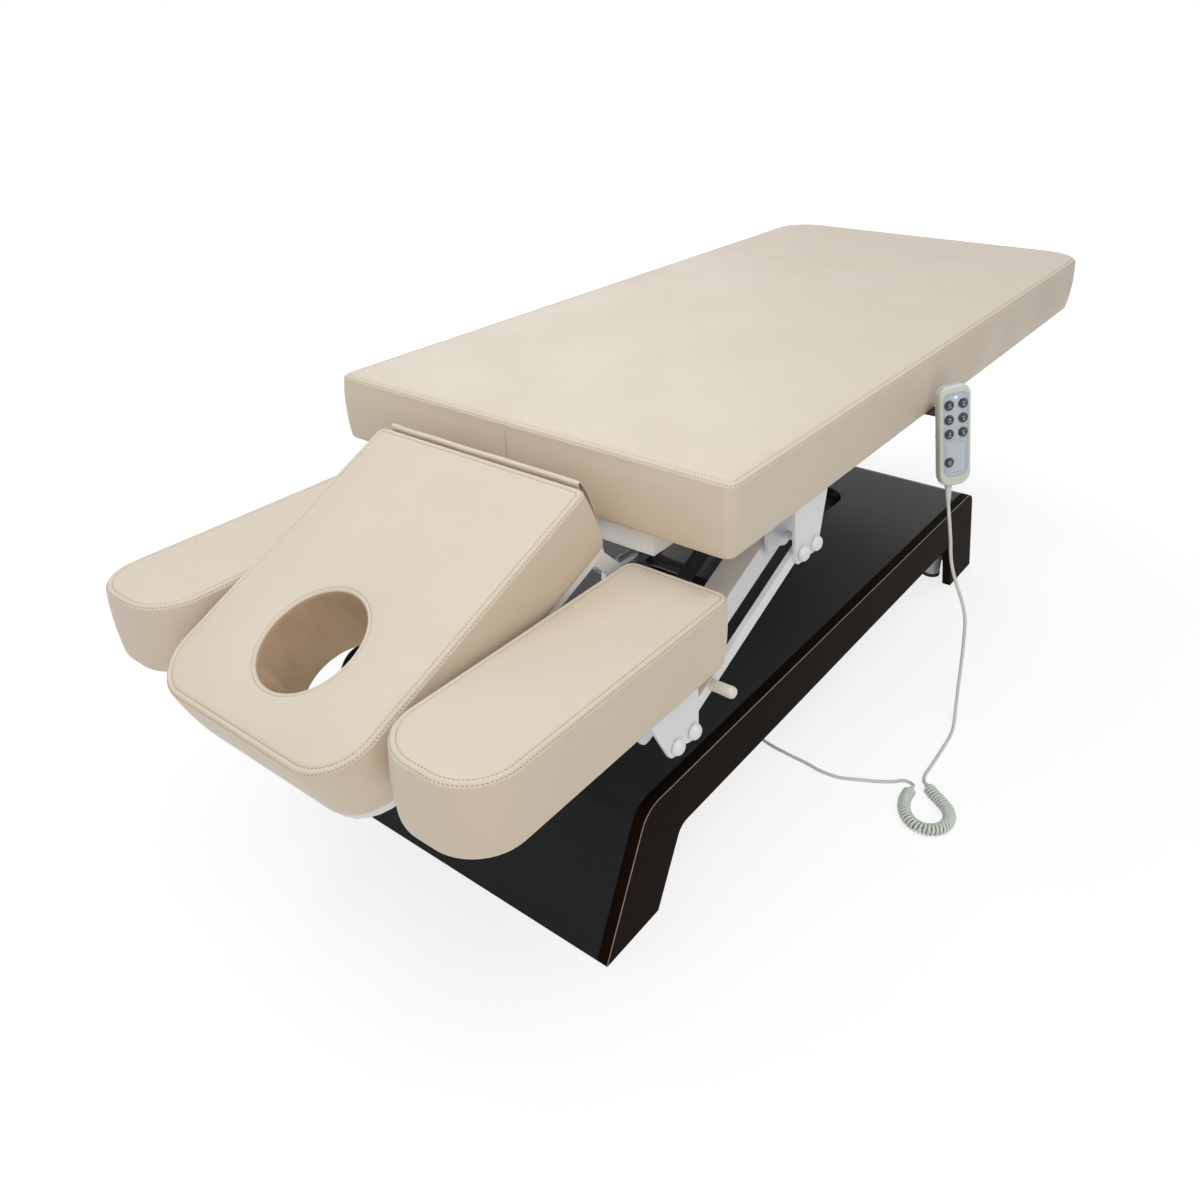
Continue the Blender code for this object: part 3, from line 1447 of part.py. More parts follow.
root = body("table", (0, 0, 0))
base = body("base_body", (0, 0, 0), root)
top = body("top_body", (0, 0, 0), root)
outer_arms = body("outer_arms_body", base_pivot, base)
inner_arms = body("inner_arms_body", top_pivot, top)
lift_rod_body = body("lift_rod_body", (lift_pin()[0], 0, lift_pin()[1]), base)
headrest = body("headrest_body", head_hinge, top, Matrix.Rotation(-head_tilt, 3, "Y"))
head_rod_body = body("head_rod_body", (head_pin()[0], head_actuator_y, head_pin()[1]), top)
foot_section = body("foot_section_body", foot_hinge, top)
foot_rod_body = body("foot_rod_body", (foot_pin()[0], foot_actuator_y, foot_pin()[1]), top)

# Wooden base and its frame
node("casing_side_left", casing_side(), base, "brown_board")
node("casing_side_right", mirrored(casing_side()), base, "brown_board")
node("casing_cover", casing_cover(), base, "black_laminate")
node("base_frame", base_frame(), base, "white_steel")
for name, x, y in (("head_left", 0, 1), ("head_right", 0, -1), ("foot_left", 1, 1), ("foot_right", 1, -1)):
    spot = (foot_places()[x], foot_y * y)
    pad = rod((*spot, 0), (*spot, foot_height), foot_radius, 20)
    node("floor_foot_" + name, pad, base, "black_rubber")
node("control_box", control_box(), base, "motor_plastic")

# Lift
lower_reach = outer_lug_y + lug_thickness * 1.7
upper_reach = lug_y + lug_thickness * 1.7
node("lower_pivot_shaft", pivot_shaft(base_pivot, lower_reach, shaft_radius), base, "bright_steel")
node("upper_pivot_shaft", pivot_shaft(top_pivot, upper_reach, shaft_radius), top, "bright_steel")
node("outer_lift_arms", outer_lift_arms(), outer_arms, "black_steel")
node("upper_roller_shaft", roller_shaft(top_roller), outer_arms, "bright_steel")
node("inner_lift_arms", inner_lift_arms(), inner_arms, "black_steel")
node("lower_roller_shaft", roller_shaft(base_roller), inner_arms, "bright_steel")

# Actuators
pin = lift_pin()
slot = yoke_slot(base_pivot.z, lift_crank_radius, pin[1])
node("lift_motor", actuator_housing(pin[0], -1, 0, pin[1], 1), base, "motor_plastic")
node("lift_motor_rod", yoke_rod(pin, *slot, -1, 0, pin[1]), lift_rod_body, "bright_steel")
pin = head_pin()
slot = yoke_slot(head_hinge.z, head_crank_radius, pin[1])
node("headrest_motor", actuator_housing(pin[0], 1, head_actuator_y, pin[1], 1), top, "motor_plastic")
node("headrest_motor_rod", yoke_rod(pin, *slot, 1, head_actuator_y, pin[1]), head_rod_body, "bright_steel")
pin = foot_pin()
slot = yoke_slot(foot_hinge.z, foot_crank_radius, pin[1])
node("foot_section_motor", actuator_housing(pin[0], -1, foot_actuator_y, pin[1], -1), top, "motor_plastic")
foot_rod = yoke_rod(pin, *slot, -1, foot_actuator_y, pin[1])
node("foot_section_motor_rod", foot_rod, foot_rod_body, "bright_steel")

# Padded top
centre_x = main_length / 2
node("top_frame", top_frame(), top, "white_steel")
node("main_board", board_under(main_outline, pad_bottom, board_thickness), top, "plywood")
main_pad = cushion(main_outline, pad_bottom, bed_height, board_thickness, cushion_crown, (centre_x, 0))
node("main_cushion", main_pad, top, "cream_vinyl", smooth=50)
node("foot_frame", foot_frame(), foot_section, "white_steel")
node("foot_board", board_under(foot_outline, pad_bottom, board_thickness), foot_section, "plywood")
centre_x = main_length + foot_length / 2
foot_pad = cushion(foot_outline, pad_bottom, bed_height, board_thickness, cushion_crown, (centre_x, 0))
node("foot_cushion", foot_pad, foot_section, "cream_vinyl", smooth=50)
node("headrest_frame", headrest_frame(), headrest, "white_steel", at=(0, 0, 0))
node("headrest_cushion", headrest_cushion(), headrest, "cream_vinyl", at=(0, 0, 0), smooth=50)
node("headrest_flap", flap(), top, "cream_vinyl", smooth=50)

# Armrests
def on_side(mesh, side):
    return mesh if side > 0 else mirrored(mesh)


upper_a, upper_b, lower_a, lower_b = link_points()
for name, side in (("left", 1), ("right", -1)):
    box_body = body(name + "_box_link_body", (upper_b.x, side * box_link_inner_y, upper_b.y), top)
    flat_body = body(name + "_flat_link_body", (upper_a.x, side * plate_y, upper_a.y), top)
    rest_body = body(name + "_armrest_body", (lower_b.x, side * box_link_inner_y, lower_b.y), box_body)
    knob_at = knob_place()
    knob_body = body(name + "_knob_body", (knob_at.x, side * plate_y, knob_at.y), flat_body)
    upper_edge = rail_y + rail_width / 2 + gap
    lower_reach = middle_plate_y + plate_thickness * 2
    upper = armrest_bracket(upper_a, upper_b, 0, frame_top, upper_edge, plate_y + overrun)
    lower = armrest_bracket(lower_a, lower_b, 1, arm_bottom - gap, inner_plate_y, lower_reach)
    board = board_under(armrest_outline, arm_bottom, arm_board_thickness)
    node(name + "_upper_bracket", on_side(upper, side), top, "white_steel")
    node(name + "_flat_link", on_side(flat_link(), side), flat_body, "white_steel")
    node(name + "_box_link", on_side(box_link(), side), box_body, "white_steel")
    node(name + "_lower_bracket", on_side(lower, side), rest_body, "white_steel")
    node(name + "_armrest_board", on_side(board, side), rest_body, "plywood")
    middle = ((arm_front + arm_rear) / 2, (arm_inner_y + arm_outer_y) / 2)
    pad = cushion(armrest_outline, arm_bottom, arm_top, arm_board_thickness, arm_crown, middle)
    node(name + "_armrest_cushion", on_side(pad, side), rest_body, "cream_vinyl", smooth=50)
    node(name + "_lock_knob", on_side(lock_knob(), side), knob_body, "knob_plastic")

# Handset, its hook and buttons
handset_at = handset_frame()
handset = body("handset_body", handset_at.translation, top, handset_at.to_3x3())
node("handset_hook", handset_hook(), top, "black_steel")
node("handset_shell", handset_shell(), handset, "handset_plastic", at=(0, 0, 0))
node("handset_panel", handset_panel(), handset, "panel_film", at=(0, 0, 0))
button_names = ("bed_up", "bed_down", "head_up", "head_down", "foot_up", "foot_down", "light")
for name, place in zip(button_names, button_places()):
    node("button_" + name, button(place), handset, "button_rubber", at=(0, 0, 0))
node("strain_relief", strain_relief(), handset, "cord_plastic", at=(0, 0, 0))

# Cord
cord_step = cord_radius * 5.6
tube_along("cord_hanging", cord_path(hanging_route(), cord_step), cord_radius, 2, top, "cord_plastic")
curls = coil_points()
print("least gap between curls, mm:", round(least_self_gap(curls, curl_wire_radius, 5) * 1000, 2))
tube_along("cord_curly", curls, curl_wire_radius, 1, base, "cord_plastic")
tube_along("cord_to_box", cord_path(floor_route(), cord_step), cord_radius, 2, base, "cord_plastic")

# The table's middle goes to zero, measured without the cord
bpy.context.view_layer.update()
spots = []
for piece in scene.objects:
    if piece.type == "MESH":
        spots += [piece.matrix_world @ vertex.co for vertex in piece.data.vertices]
middle = [(min(spot[axis] for spot in spots) + max(spot[axis] for spot in spots)) / 2 for axis in (0, 1)]
root.location = (-middle[0], -middle[1], 0)
bpy.context.view_layer.update()
print("root moved by", [round(value, 5) for value in root.location])
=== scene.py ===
"""Electric massage table: the finish of every piece, laid out as Blender operators.

Metres, in the frame of the packed model. Table coordinates have X from the head edge of the
long pad, Y from the middle of the table and Z from the floor; at() turns them into the frame's.
"""

import math

import bmesh
import bpy
from bpy.props import FloatProperty, FloatVectorProperty, PointerProperty
from bpy.types import Operator, Panel, PropertyGroup
from mathutils import Matrix, Vector, noise


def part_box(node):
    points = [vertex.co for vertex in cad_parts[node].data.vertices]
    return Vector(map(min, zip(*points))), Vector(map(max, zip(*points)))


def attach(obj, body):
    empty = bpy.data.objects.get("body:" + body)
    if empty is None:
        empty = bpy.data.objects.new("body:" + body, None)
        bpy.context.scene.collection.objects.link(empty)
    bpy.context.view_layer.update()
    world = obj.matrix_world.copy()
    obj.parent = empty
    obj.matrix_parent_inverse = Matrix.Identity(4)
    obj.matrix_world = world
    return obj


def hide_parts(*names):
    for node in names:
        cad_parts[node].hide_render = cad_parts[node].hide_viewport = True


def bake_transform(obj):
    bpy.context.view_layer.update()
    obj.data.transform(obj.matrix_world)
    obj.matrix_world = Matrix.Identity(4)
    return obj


bl_info = {
    "name": "Electric massage table",
    "version": (1, 0, 0),
    "blender": (4, 5, 0),
    "location": "3D View > Sidebar > Massage Table",
    "description": "Makes the padding, fittings, cords and finishes of an electric massage table",
    "category": "Object",
}

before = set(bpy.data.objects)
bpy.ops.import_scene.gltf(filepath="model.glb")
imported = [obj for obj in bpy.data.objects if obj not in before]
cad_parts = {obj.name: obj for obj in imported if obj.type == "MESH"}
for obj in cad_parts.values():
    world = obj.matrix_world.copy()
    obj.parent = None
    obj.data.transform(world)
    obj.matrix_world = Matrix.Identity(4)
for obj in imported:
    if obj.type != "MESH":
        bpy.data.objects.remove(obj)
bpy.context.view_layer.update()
BOARD_LOW, BOARD_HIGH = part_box("main_board")
BOARD_SETBACK = 0.0123
SHIFT = Vector((BOARD_LOW.x - BOARD_SETBACK, (BOARD_LOW.y + BOARD_HIGH.y) / 2, 0))
HEAD_HINGE = Vector((-0.012, 0, 0.546))
HEAD_LEAN = Matrix.Rotation(math.radians(-24), 3, "Y")


def shade(red, green, blue):
    """A screen colour, 0 to 255, as Blender's linear colour."""
    linear = []
    for value in (red, green, blue):
        share = value / 255
        linear.append(share / 12.92 if share <= 0.04045 else ((share + 0.055) / 1.055) ** 2.4)
    return tuple(linear)


def length(name, text, default):
    return FloatProperty(
        name=name, description=text, default=default, min=0, precision=4, unit="LENGTH")


def colour(name, text, *rgb):
    return FloatVectorProperty(
        name=name, description=text, default=shade(*rgb), min=0, max=1, subtype="COLOR", size=3)


def level(name, text, default):
    return FloatProperty(name=name, description=text, default=default, min=0)


# Sizes and colours that a user would change

class PadSewing(PropertyGroup):
    """How the vinyl covers are filled and sewn."""
    crown: length("Crown", "How far the filling lifts the middle of a pad", 0.0034)
    crown_fall: length("Crown fall", "Way from the seam over which the crown rises", 0.045)
    first_row: length("Outer stitch row", "From the pad's side to the outer row of stitches", 0.0020)
    second_row: length("Inner stitch row", "From the pad's side to the inner row of stitches", 0.0088)
    row_depth: length("Stitch depth", "How deep a row of stitches draws the cover in", 0.0012)
    stitch_pitch: length("Stitch pitch", "From one stitch to the next", 0.0048)
    stitch_length: length("Stitch length", "How much of a stitch shows", 0.0036)
    thread_radius: length("Thread radius", "Half the thickness of the thread", 0.00050)
    crease_depth: length("Crease depth", "How deep the foot section's crease lies", 0.0062)
    crease_width: length("Crease width", "Half width of the foot section's crease", 0.0085)
    ripple: length("Ripple", "Height of the small ripples in the covers", 0.00032)


class TableColours(PropertyGroup):
    """The colours of the covers, boards, steel and plastic."""
    vinyl: colour("Vinyl", "Covers of all the pads", 221, 206, 186)
    # The wall strip in the breathing hole is real; its colour is darker than the cover as painted shade
    # inside the hole.
    lining: colour("Lining", "Strip sewn into the breathing hole", 194, 169, 138)
    thread: colour("Thread", "Stitches in the covers", 168, 146, 116)
    laminate: colour("Laminate", "Top board of the base", 24, 27, 28)
    # A light band that paints the highlight along the side boards' top edges.
    side_board: colour("Side boards", "Side boards of the base", 22, 13, 7)
    edge_band: colour("Edge band", "Thin band along the side boards' edges", 176, 148, 132)
    white_steel: colour("White steel", "Powder coated frames, links and brackets", 240, 242, 245)
    black_steel: colour("Black steel", "Powder coated lift arms", 38, 38, 41)
    bright_steel: colour("Bright steel", "Shafts, rods and bolts", 186, 189, 192)
    plywood: colour("Plywood", "Boards under the pads", 196, 164, 118)
    dark_plastic: colour("Dark plastic", "Motors, control box and end caps", 58, 60, 63)
    handset: colour("Handset", "Housing of the handset", 214, 219, 208)
    panel: colour("Panel", "Front film of the handset", 196, 206, 214)
    button: colour("Buttons", "Caps of the buttons", 52, 58, 68)
    symbol: colour("Symbols", "Arrows and signs on the buttons", 222, 226, 230)
    lamp: colour("Lamp", "Small lamp at the top of the handset", 176, 214, 255)
    cord: colour("Cord", "Straight parts of the cord", 224, 226, 220)
    curls: colour("Curls", "Curled part of the cord", 224, 229, 220)
    knob: colour("Knobs", "Lock knobs of the armrests", 226, 222, 208)
    rubber: colour("Rubber", "Feet under the base", 30, 30, 31)


class StageLight(PropertyGroup):
    """Floor and lamps."""
    floor: colour("Floor", "Pale floor and surroundings", 246, 246, 246)
    key: level("Key lamp", "Power of the large lamp over the table, in watts", 46.0)
    fill: level("Fill lamp", "Power of the lamp beside the camera, in watts", 18.0)
    rim: level("Back lamp", "Power of the lamp behind the table, in watts", 14.0)
    strip: level("Strip lamp", "Power of the long lamp beside the head end, in watts", 14.0)
    glow: level("Floor glow", "Brightness that the camera sees in the open floor", 1.16)
    around: level("Surroundings", "Strength of the light from all sides", 0.36)


def at(x, y, z):
    """A point in table coordinates, in the frame's."""
    return Vector((x, y, z)) + SHIFT


def on_headrest(x, y, z):
    """A point of the headrest, level and about its hinge, in the frame's coordinates."""
    return HEAD_LEAN @ Vector((x, y, z)) + HEAD_HINGE + SHIFT


# Mesh tools

SPAN_STEPS = 24


def placed(name, data):
    """A new object in the scene."""
    item = bpy.data.objects.new(name, data)
    bpy.context.scene.collection.objects.link(item)
    return item


def piece(name, points, faces, finish, smooth=180):
    """A new object from points and faces. Edges sharper than smooth, in degrees, stay crisp."""
    mesh = bpy.data.meshes.new(name)
    mesh.from_pydata([tuple(point) for point in points], [], faces)
    mesh.validate()
    tidy = bmesh.new()
    tidy.from_mesh(mesh)
    bmesh.ops.recalc_face_normals(tidy, faces=tidy.faces)
    tidy.to_mesh(mesh)
    tidy.free()
    mesh.shade_smooth()
    if smooth < 180:
        mesh.set_sharp_from_angle(angle=math.radians(smooth))
    mesh.materials.append(finish)
    return placed(name, mesh)


class Skin:
    """Points and faces of a piece in the making."""

    def __init__(self):
        self.points = []
        self.faces = []

    def ring(self, points):
        start = len(self.points)
        self.points += [Vector(point) for point in points]
        return list(range(start, len(self.points)))

    def join(self, lower, upper, closed=True):
        """Four-sided faces between two rings or rows of the same count."""
        count = len(lower)
        for i in range(count if closed else count - 1):
            j = (i + 1) % count
            self.faces.append((lower[i], lower[j], upper[j], upper[i]))

    def loft(self, rows, closed=True, capped=False):
        """Faces between each ring and the next, and over both ends if capped."""
        for lower, upper in zip(rows, rows[1:]):
            self.join(lower, upper, closed)
        if capped:
            self.faces += [tuple(rows[0]), tuple(rows[-1])]

    def turn(self, change):
        """Moves every point."""
        self.points = [change(point) for point in self.points]

    def piece(self, name, look, smooth=180):
        return piece(name, self.points, self.faces, finish(look), smooth)

    def fitting(self, name, look, smooth, slot, body):
        """A rigid piece that rides on a body."""
        item = self.piece(name, look, smooth)
        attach(item, body)
        return item


def square_frame(along):
    """Two directions square to a third."""
    side = along.cross(Vector((0, 0, 1)))
    if side.length < 0.05:
        side = along.cross(Vector((0, 1, 0)))
    side.normalize()
    return side, along.cross(side).normalized()


def circle(centre, side, other, radius, sides):
    """Points round a centre, in the plane of two directions."""
    angles = [math.tau * n / sides for n in range(sides)]
    return [centre + (side * math.cos(angle) + other * math.sin(angle)) * radius for angle in angles]


def neighbours(path, k, closed=False):
    """The points before and after one of a path, or the end itself."""
    before = path[k - 1] if k or closed else path[0]
    after = path[(k + 1) % len(path)] if k < len(path) - 1 or closed else path[-1]
    return before, after


def tube(skin, path, radius, sides=10, closed=False):
    """A round tube along a path, with its rings carried on without twist."""
    side = None
    rows = []
    for k, centre in enumerate(path):
        before, after = neighbours(path, k, closed)
        along = (after - before).normalized()
        if side is None:
            side = square_frame(along)[0]
        side = (side - along * side.dot(along)).normalized()
        rows.append(skin.ring(circle(centre, side, along.cross(side), radius, sides)))
    skin.loft([*rows, rows[0]] if closed else rows, capped=not closed)


def turned(skin, centre, axis, profile, sides):
    """A turned shape: profile gives radius and height along the axis."""
    axis = axis.normalized()
    side, other = square_frame(axis)
    skin.loft([
        skin.ring(circle(centre + axis * height, side, other, radius, sides))
        for radius, height in profile], capped=True)


def between(low, high, here, start, end):
    """A point between two others, at a place between start and end or beyond them."""
    return low * ((end - here) / (end - start)) + high * ((here - start) / (end - start))


def walked(line):
    """The way from a line's start to each of its points."""
    ways = [0.0]
    for here, there in zip(line, line[1:]):
        ways.append(ways[-1] + (there - here).length)
    return ways


def smooth_path(points, spacing):
    """A smooth curve through some points, read at even steps."""
    points = [Vector(point) for point in points]
    padded = [points[0] * 2 - points[1], *points, points[-1] * 2 - points[-2]]
    fine = []
    for i in range(1, len(padded) - 2):
        four = padded[i - 1:i + 3]
        knots = [0.0]
        for here, there in zip(four, four[1:]):
            knots.append(knots[-1] + (there - here).length ** 0.5)
        for k in range(SPAN_STEPS):
            t = knots[1] + (knots[2] - knots[1]) * k / SPAN_STEPS
            a = [between(four[n], four[n + 1], t, knots[n], knots[n + 1]) for n in range(3)]
            b = [between(a[n], a[n + 1], t, knots[n], knots[n + 2]) for n in range(2)]
            fine.append(between(*b, t, knots[1], knots[2]))
    fine.append(points[-1])
    lengths = walked(fine)
    count = max(2, round(lengths[-1] / spacing))
    even = []
    index = 0
    for k in range(count + 1):
        target = lengths[-1] * k / count
        while index < len(lengths) - 2 and lengths[index + 1] < target:
            index += 1
        span = lengths[index + 1] - lengths[index]
        share = (target - lengths[index]) / span if span else 0
        even.append(fine[index].lerp(fine[index + 1], share))
    return even


def run_of(path):
    """The length of a path."""
    return sum((there - here).length for here, there in zip(path, path[1:]))


# Finishes

def feed(tree, step, sockets):
    """Fills a node's sockets with values, or with links from other nodes' outputs."""
    for key, value in sockets.items():
        if isinstance(value, bpy.types.NodeSocket):
            tree.links.new(value, step.inputs[key])
        else:
            step.inputs[key].default_value = value


def node(tree, kind, sockets, **settings):
    """The outputs of a new node."""
    step = tree.nodes.new(kind)
    for key, value in settings.items():
        setattr(step, key, value)
    feed(tree, step, sockets)
    return step.outputs


class Finish:
    """One finish, laid on step by step: tints, roughness and small relief."""

    def __init__(self, name, base, roughness, metallic=0.0):
        self.material = bpy.data.materials.new(name)
        self.material.use_nodes = True
        self.material.diffuse_color = (*base, 1)
        self.tree = self.material.node_tree
        self.shader = self.tree.nodes["Principled BSDF"]
        self.set(Metallic=metallic, Roughness=roughness)
        self.place = self.add("ShaderNodeTexCoord", {})["Object"]
        self.tinted = (*base, 1)
        self.relief = {}

    def add(self, kind, sockets, **settings):
        return node(self.tree, kind, sockets, **settings)

    def set(self, **sockets):
        feed(self.tree, self.shader, {key.replace("_", " "): value for key, value in sockets.items()})
        return self

    def clouds(self, scale, detail, stretch=None, contrast=(0.3, 0.7)):
        """Soft random patches between 0 and 1."""
        place = self.place
        if stretch:
            place = self.add("ShaderNodeMapping", {"Vector": place, "Scale": stretch})["Vector"]
        sockets = {"Vector": place, "Scale": scale, "Detail": detail}
        return self.spread(self.add("ShaderNodeTexNoise", sockets)["Fac"], *contrast)

    def cells(self, scale):
        """Small rounded cells, as in leather grain."""
        sockets = {"Vector": self.place, "Scale": scale}
        step = self.add("ShaderNodeTexVoronoi", sockets, feature="SMOOTH_F1")
        return self.spread(step["Distance"], 0.0, 0.8)

    def plies(self, period):
        """Even layers, one above the other."""
        height = self.add("ShaderNodeSeparateXYZ", {"Vector": self.place})["Z"]
        turn = self.add("ShaderNodeMath", {0: height, 1: math.tau / period}, operation="MULTIPLY")[0]
        return self.spread(self.add("ShaderNodeMath", {0: turn}, operation="SINE")[0], -0.5, 0.5)

    def edges(self, low, high):
        """Where the shape comes to an edge."""
        return self.spread(self.add("ShaderNodeNewGeometry", {})["Pointiness"], low, high)

    def painted_top_light(self):
        """1 on level tops and 0 on slopes and sides, to paint light onto the level tops."""
        normal = self.add("ShaderNodeNewGeometry", {})["Normal"]
        return self.spread(self.add("ShaderNodeSeparateXYZ", {"Vector": normal})["Z"], 0.55, 0.98)

    def spread(self, value, low, high, to_low=0.0, to_high=1.0):
        return self.add("ShaderNodeMapRange", {
            "Value": value, "From Min": low, "From Max": high, "To Min": to_low,
            "To Max": to_high})["Result"]

    def tint(self, mask, amount, other):
        """Goes towards another colour where the mask is high."""
        sockets = {"Factor": self.spread(mask, 0, 1, 0, amount), "A": self.tinted, "B": (*other, 1)}
        self.tinted = self.add("ShaderNodeMix", sockets, data_type="RGBA")["Result"]
        return self.set(Base_Color=self.tinted)

    def rough(self, mask, low, high):
        return self.set(Roughness=self.spread(mask, 0, 1, low, high))

    def soften(self, radius):
        """Rounds the look of crisp edges."""
        self.relief = {"Normal": self.add("ShaderNodeBevel", {"Radius": radius}, samples=4)["Normal"]}
        return self.set(**self.relief)

    def bump(self, mask, depth):
        sockets = {"Height": mask, "Distance": depth, "Strength": 1.0, **self.relief}
        self.relief = {"Normal": self.add("ShaderNodeBump", sockets)["Normal"]}
        return self.set(**self.relief)


def times(base, factor):
    return tuple(min(value * factor, 1) for value in base)


# Each plain finish: which colour and how much of it, roughness, patches (scale, detail, how far
# they tint and towards which shade), patches of roughness (scale, detail, least, most), rounding
# of the edges and relief (scale, detail, depth). A detail of 0 stands for cells.
PLAIN = {
    # Finish of the light bands that paint a highlight on the side boards' top edges.
    "edge_band": (
        "edge_band", 1, 0.42, (45, 5, 0.55, 0.55), (45, 5, 0.36, 0.5), 0, (500, 3, 0.00004)),
    "white_steel": (
        "white_steel", 1, 0.36, (18, 4, 0.18, 0.88), (18, 4, 0.32, 0.43), 0.0011, (760, 2, 0.00004)),
    "white_cap": (
        "white_steel", 0.98, 0.34, (80, 4, 0.16, 0.84), (120, 3, 0.28, 0.4), 0.0008, (900, 2, 0.00003)),
    "black_steel": (
        "black_steel", 1, 0.42, (30, 5, 0.3, 1.5), (30, 5, 0.37, 0.5), 0.0011, (820, 2, 0.00005)),
    "motor_plastic": (
        "dark_plastic", 1, 0.5, (24, 4, 0.25, 0.75), (60, 3, 0.44, 0.56), 0.0012, (900, 0, 0.00005)),
    "black_rubber": (
        "rubber", 1, 0.8, (70, 5, 0.3, 2.2), (70, 5, 0.72, 0.9), 0.0012, (600, 3, 0.0001)),
    "handset_plastic": (
        "handset", 1, 0.4, (30, 4, 0.14, 0.9), (55, 3, 0.34, 0.46), 0.0006, (1500, 0, 0.00003)),
    "panel_film": (
        "panel", 1, 0.42, (50, 3, 0.12, 0.86), (90, 3, 0.36, 0.48), 0, (1400, 2, 0.00002)),
    "button_rubber": (
        "button", 1, 0.5, (200, 3, 0.25, 1.5), (300, 3, 0.44, 0.6), 0, (2200, 0, 0.00003)),
    "button_ring": (
        "button", 0.55, 0.4, (300, 3, 0.3, 0.9), (250, 3, 0.34, 0.5), 0, (1600, 2, 0.00002)),
    "button_sign": (
        "symbol", 1, 0.45, (400, 3, 0.18, 0.8), (400, 3, 0.4, 0.52), 0, (1800, 2, 0.00002)),
    "panel_line": (
        "panel", 0.42, 0.45, (300, 3, 0.3, 0.6), (300, 3, 0.4, 0.55), 0, (1800, 2, 0.00002)),
    "lamp_lens": (
        "lamp", 1, 0.2, (700, 3, 0.2, 0.8), (700, 2, 0.14, 0.26), 0, (1500, 2, 0.00002)),
    "cord_plastic": (
        "cord", 1, 0.48, (90, 4, 0.2, 0.82), (160, 3, 0.42, 0.56), 0, (900, 3, 0.00006)),
    "curl_plastic": (
        "curls", 1, 0.45, (110, 4, 0.22, 0.78), (160, 3, 0.38, 0.54), 0, (900, 3, 0.00006)),
    "knob_plastic": (
        "knob", 1, 0.24, (60, 3, 0.14, 0.86), (120, 3, 0.18, 0.3), 0.0008, (900, 2, 0.00002)),
}
# Edges tinted apart from the rest, darker on white steel and lighter on black steel: where they begin
# and end, and how far they tint and towards which shade
EDGE_TINTS = {"white_steel": (0.54, 0.66, 0.25, 0.72), "black_steel": (0.53, 0.62, 0.3, 3.2)}


def plain(name, hues):
    hue, share, roughness, patches, matt, rounding, relief = PLAIN[name]
    base = getattr(hues, hue)
    look = Finish(name, times(base, share), roughness)
    look.tint(look.clouds(*patches[:2]), patches[2], times(base, patches[3]))
    if name in EDGE_TINTS:
        low, high, amount, factor = EDGE_TINTS[name]
        look.tint(look.edges(low, high), amount, times(base, factor))
    look.rough(look.clouds(*matt[:2]), *matt[2:])
    if rounding:
        look.soften(rounding)
    scale, detail, depth = relief
    return look.bump(look.clouds(scale, detail) if detail else look.cells(scale), depth)


def vinyl(name, base):
    """Soft grained vinyl, a little glossier where it is stretched."""
    look = Finish(name, base, 0.47)
    patches = look.clouds(7, 4)
    grain = look.cells(820)
    look.tint(patches, 0.22, times(base, 0.90))
    look.tint(look.clouds(60, 5), 0.16, times(base, 0.93))
    look.tint(grain, 0.10, times(base, 1.10))
    look.rough(patches, 0.43, 0.54)
    look.bump(look.clouds(240, 3), 0.00007).bump(grain, 0.00009)
    return look.set(Sheen_Weight=0.06, Sheen_Roughness=0.5, Specular_IOR_Level=0.42)


def cream_vinyl(hues):
    return vinyl("cream_vinyl", hues.vinyl)


# The cover's vinyl made darker for the hole's wall: painted shade inside the hole.
def lining_vinyl(hues):
    return vinyl("lining_vinyl", hues.lining)


def sewing_thread(hues):
    look = Finish("sewing_thread", hues.thread, 0.62)
    strands = look.clouds(1500, 2, (1, 1, 3))
    look.tint(strands, 0.35, times(hues.thread, 0.78))
    return look.rough(strands, 0.55, 0.7).bump(strands, 0.00008)


def black_laminate(hues):
    """Satin laminate with a very fine pressed grain."""
    look = Finish("black_laminate", hues.laminate, 0.30)
    look.tint(look.clouds(30, 3, (1, 5, 1), (0.1, 0.9)), 0.15, times(hues.laminate, 1.3))
    # Level tops are tinted much lighter than the sloped boards: painted light from above.
    look.tint(look.painted_top_light(), 0.8, times(hues.laminate, 4.4))
    look.rough(look.clouds(9, 2, contrast=(0.0, 1.0)), 0.26, 0.31)
    look.bump(look.clouds(900, 1, contrast=(0.0, 1.0)), 0.00001)
    return look.set(Specular_IOR_Level=0.12)


def brown_board(hues):
    """Dark stained side board with long faint grain."""
    look = Finish("brown_board", hues.side_board, 0.5)
    grain = look.clouds(210, 6, (0.05, 1, 1))
    look.tint(grain, 0.16, times(hues.side_board, 0.7))
    look.tint(look.clouds(6, 3, (0.4, 1, 1)), 0.3, times(hues.side_board, 1.25))
    look.rough(grain, 0.56, 0.62).soften(0.0012)
    return look.bump(grain, 0.00001).set(Specular_IOR_Level=0.02)


def bright_steel(hues):
    """Turned and brushed steel."""
    look = Finish("bright_steel", hues.bright_steel, 0.28, 1.0)
    brush = look.clouds(700, 4, (0.05, 1, 1))
    look.tint(brush, 0.3, times(hues.bright_steel, 0.8))
    return look.rough(brush, 0.22, 0.36).soften(0.0006).bump(brush, 0.00002)


def plywood(hues):
    """Birch plywood: long grain on the faces and plies at the edges."""
    look = Finish("plywood", hues.plywood, 0.6)
    grain = look.clouds(90, 6, (0.08, 1, 1))
    look.tint(grain, 0.5, times(hues.plywood, 0.72))
    look.tint(look.plies(0.0031), 0.28, times(hues.plywood, 0.55))
    return look.rough(grain, 0.54, 0.68).soften(0.0008).bump(grain, 0.0001)


def lamp_lens(hues):
    """Small milky lens that glows faintly."""
    return plain("lamp_lens", hues).set(
        Emission_Color=(*hues.lamp, 1), Emission_Strength=1.1, Coat_Weight=0.4)


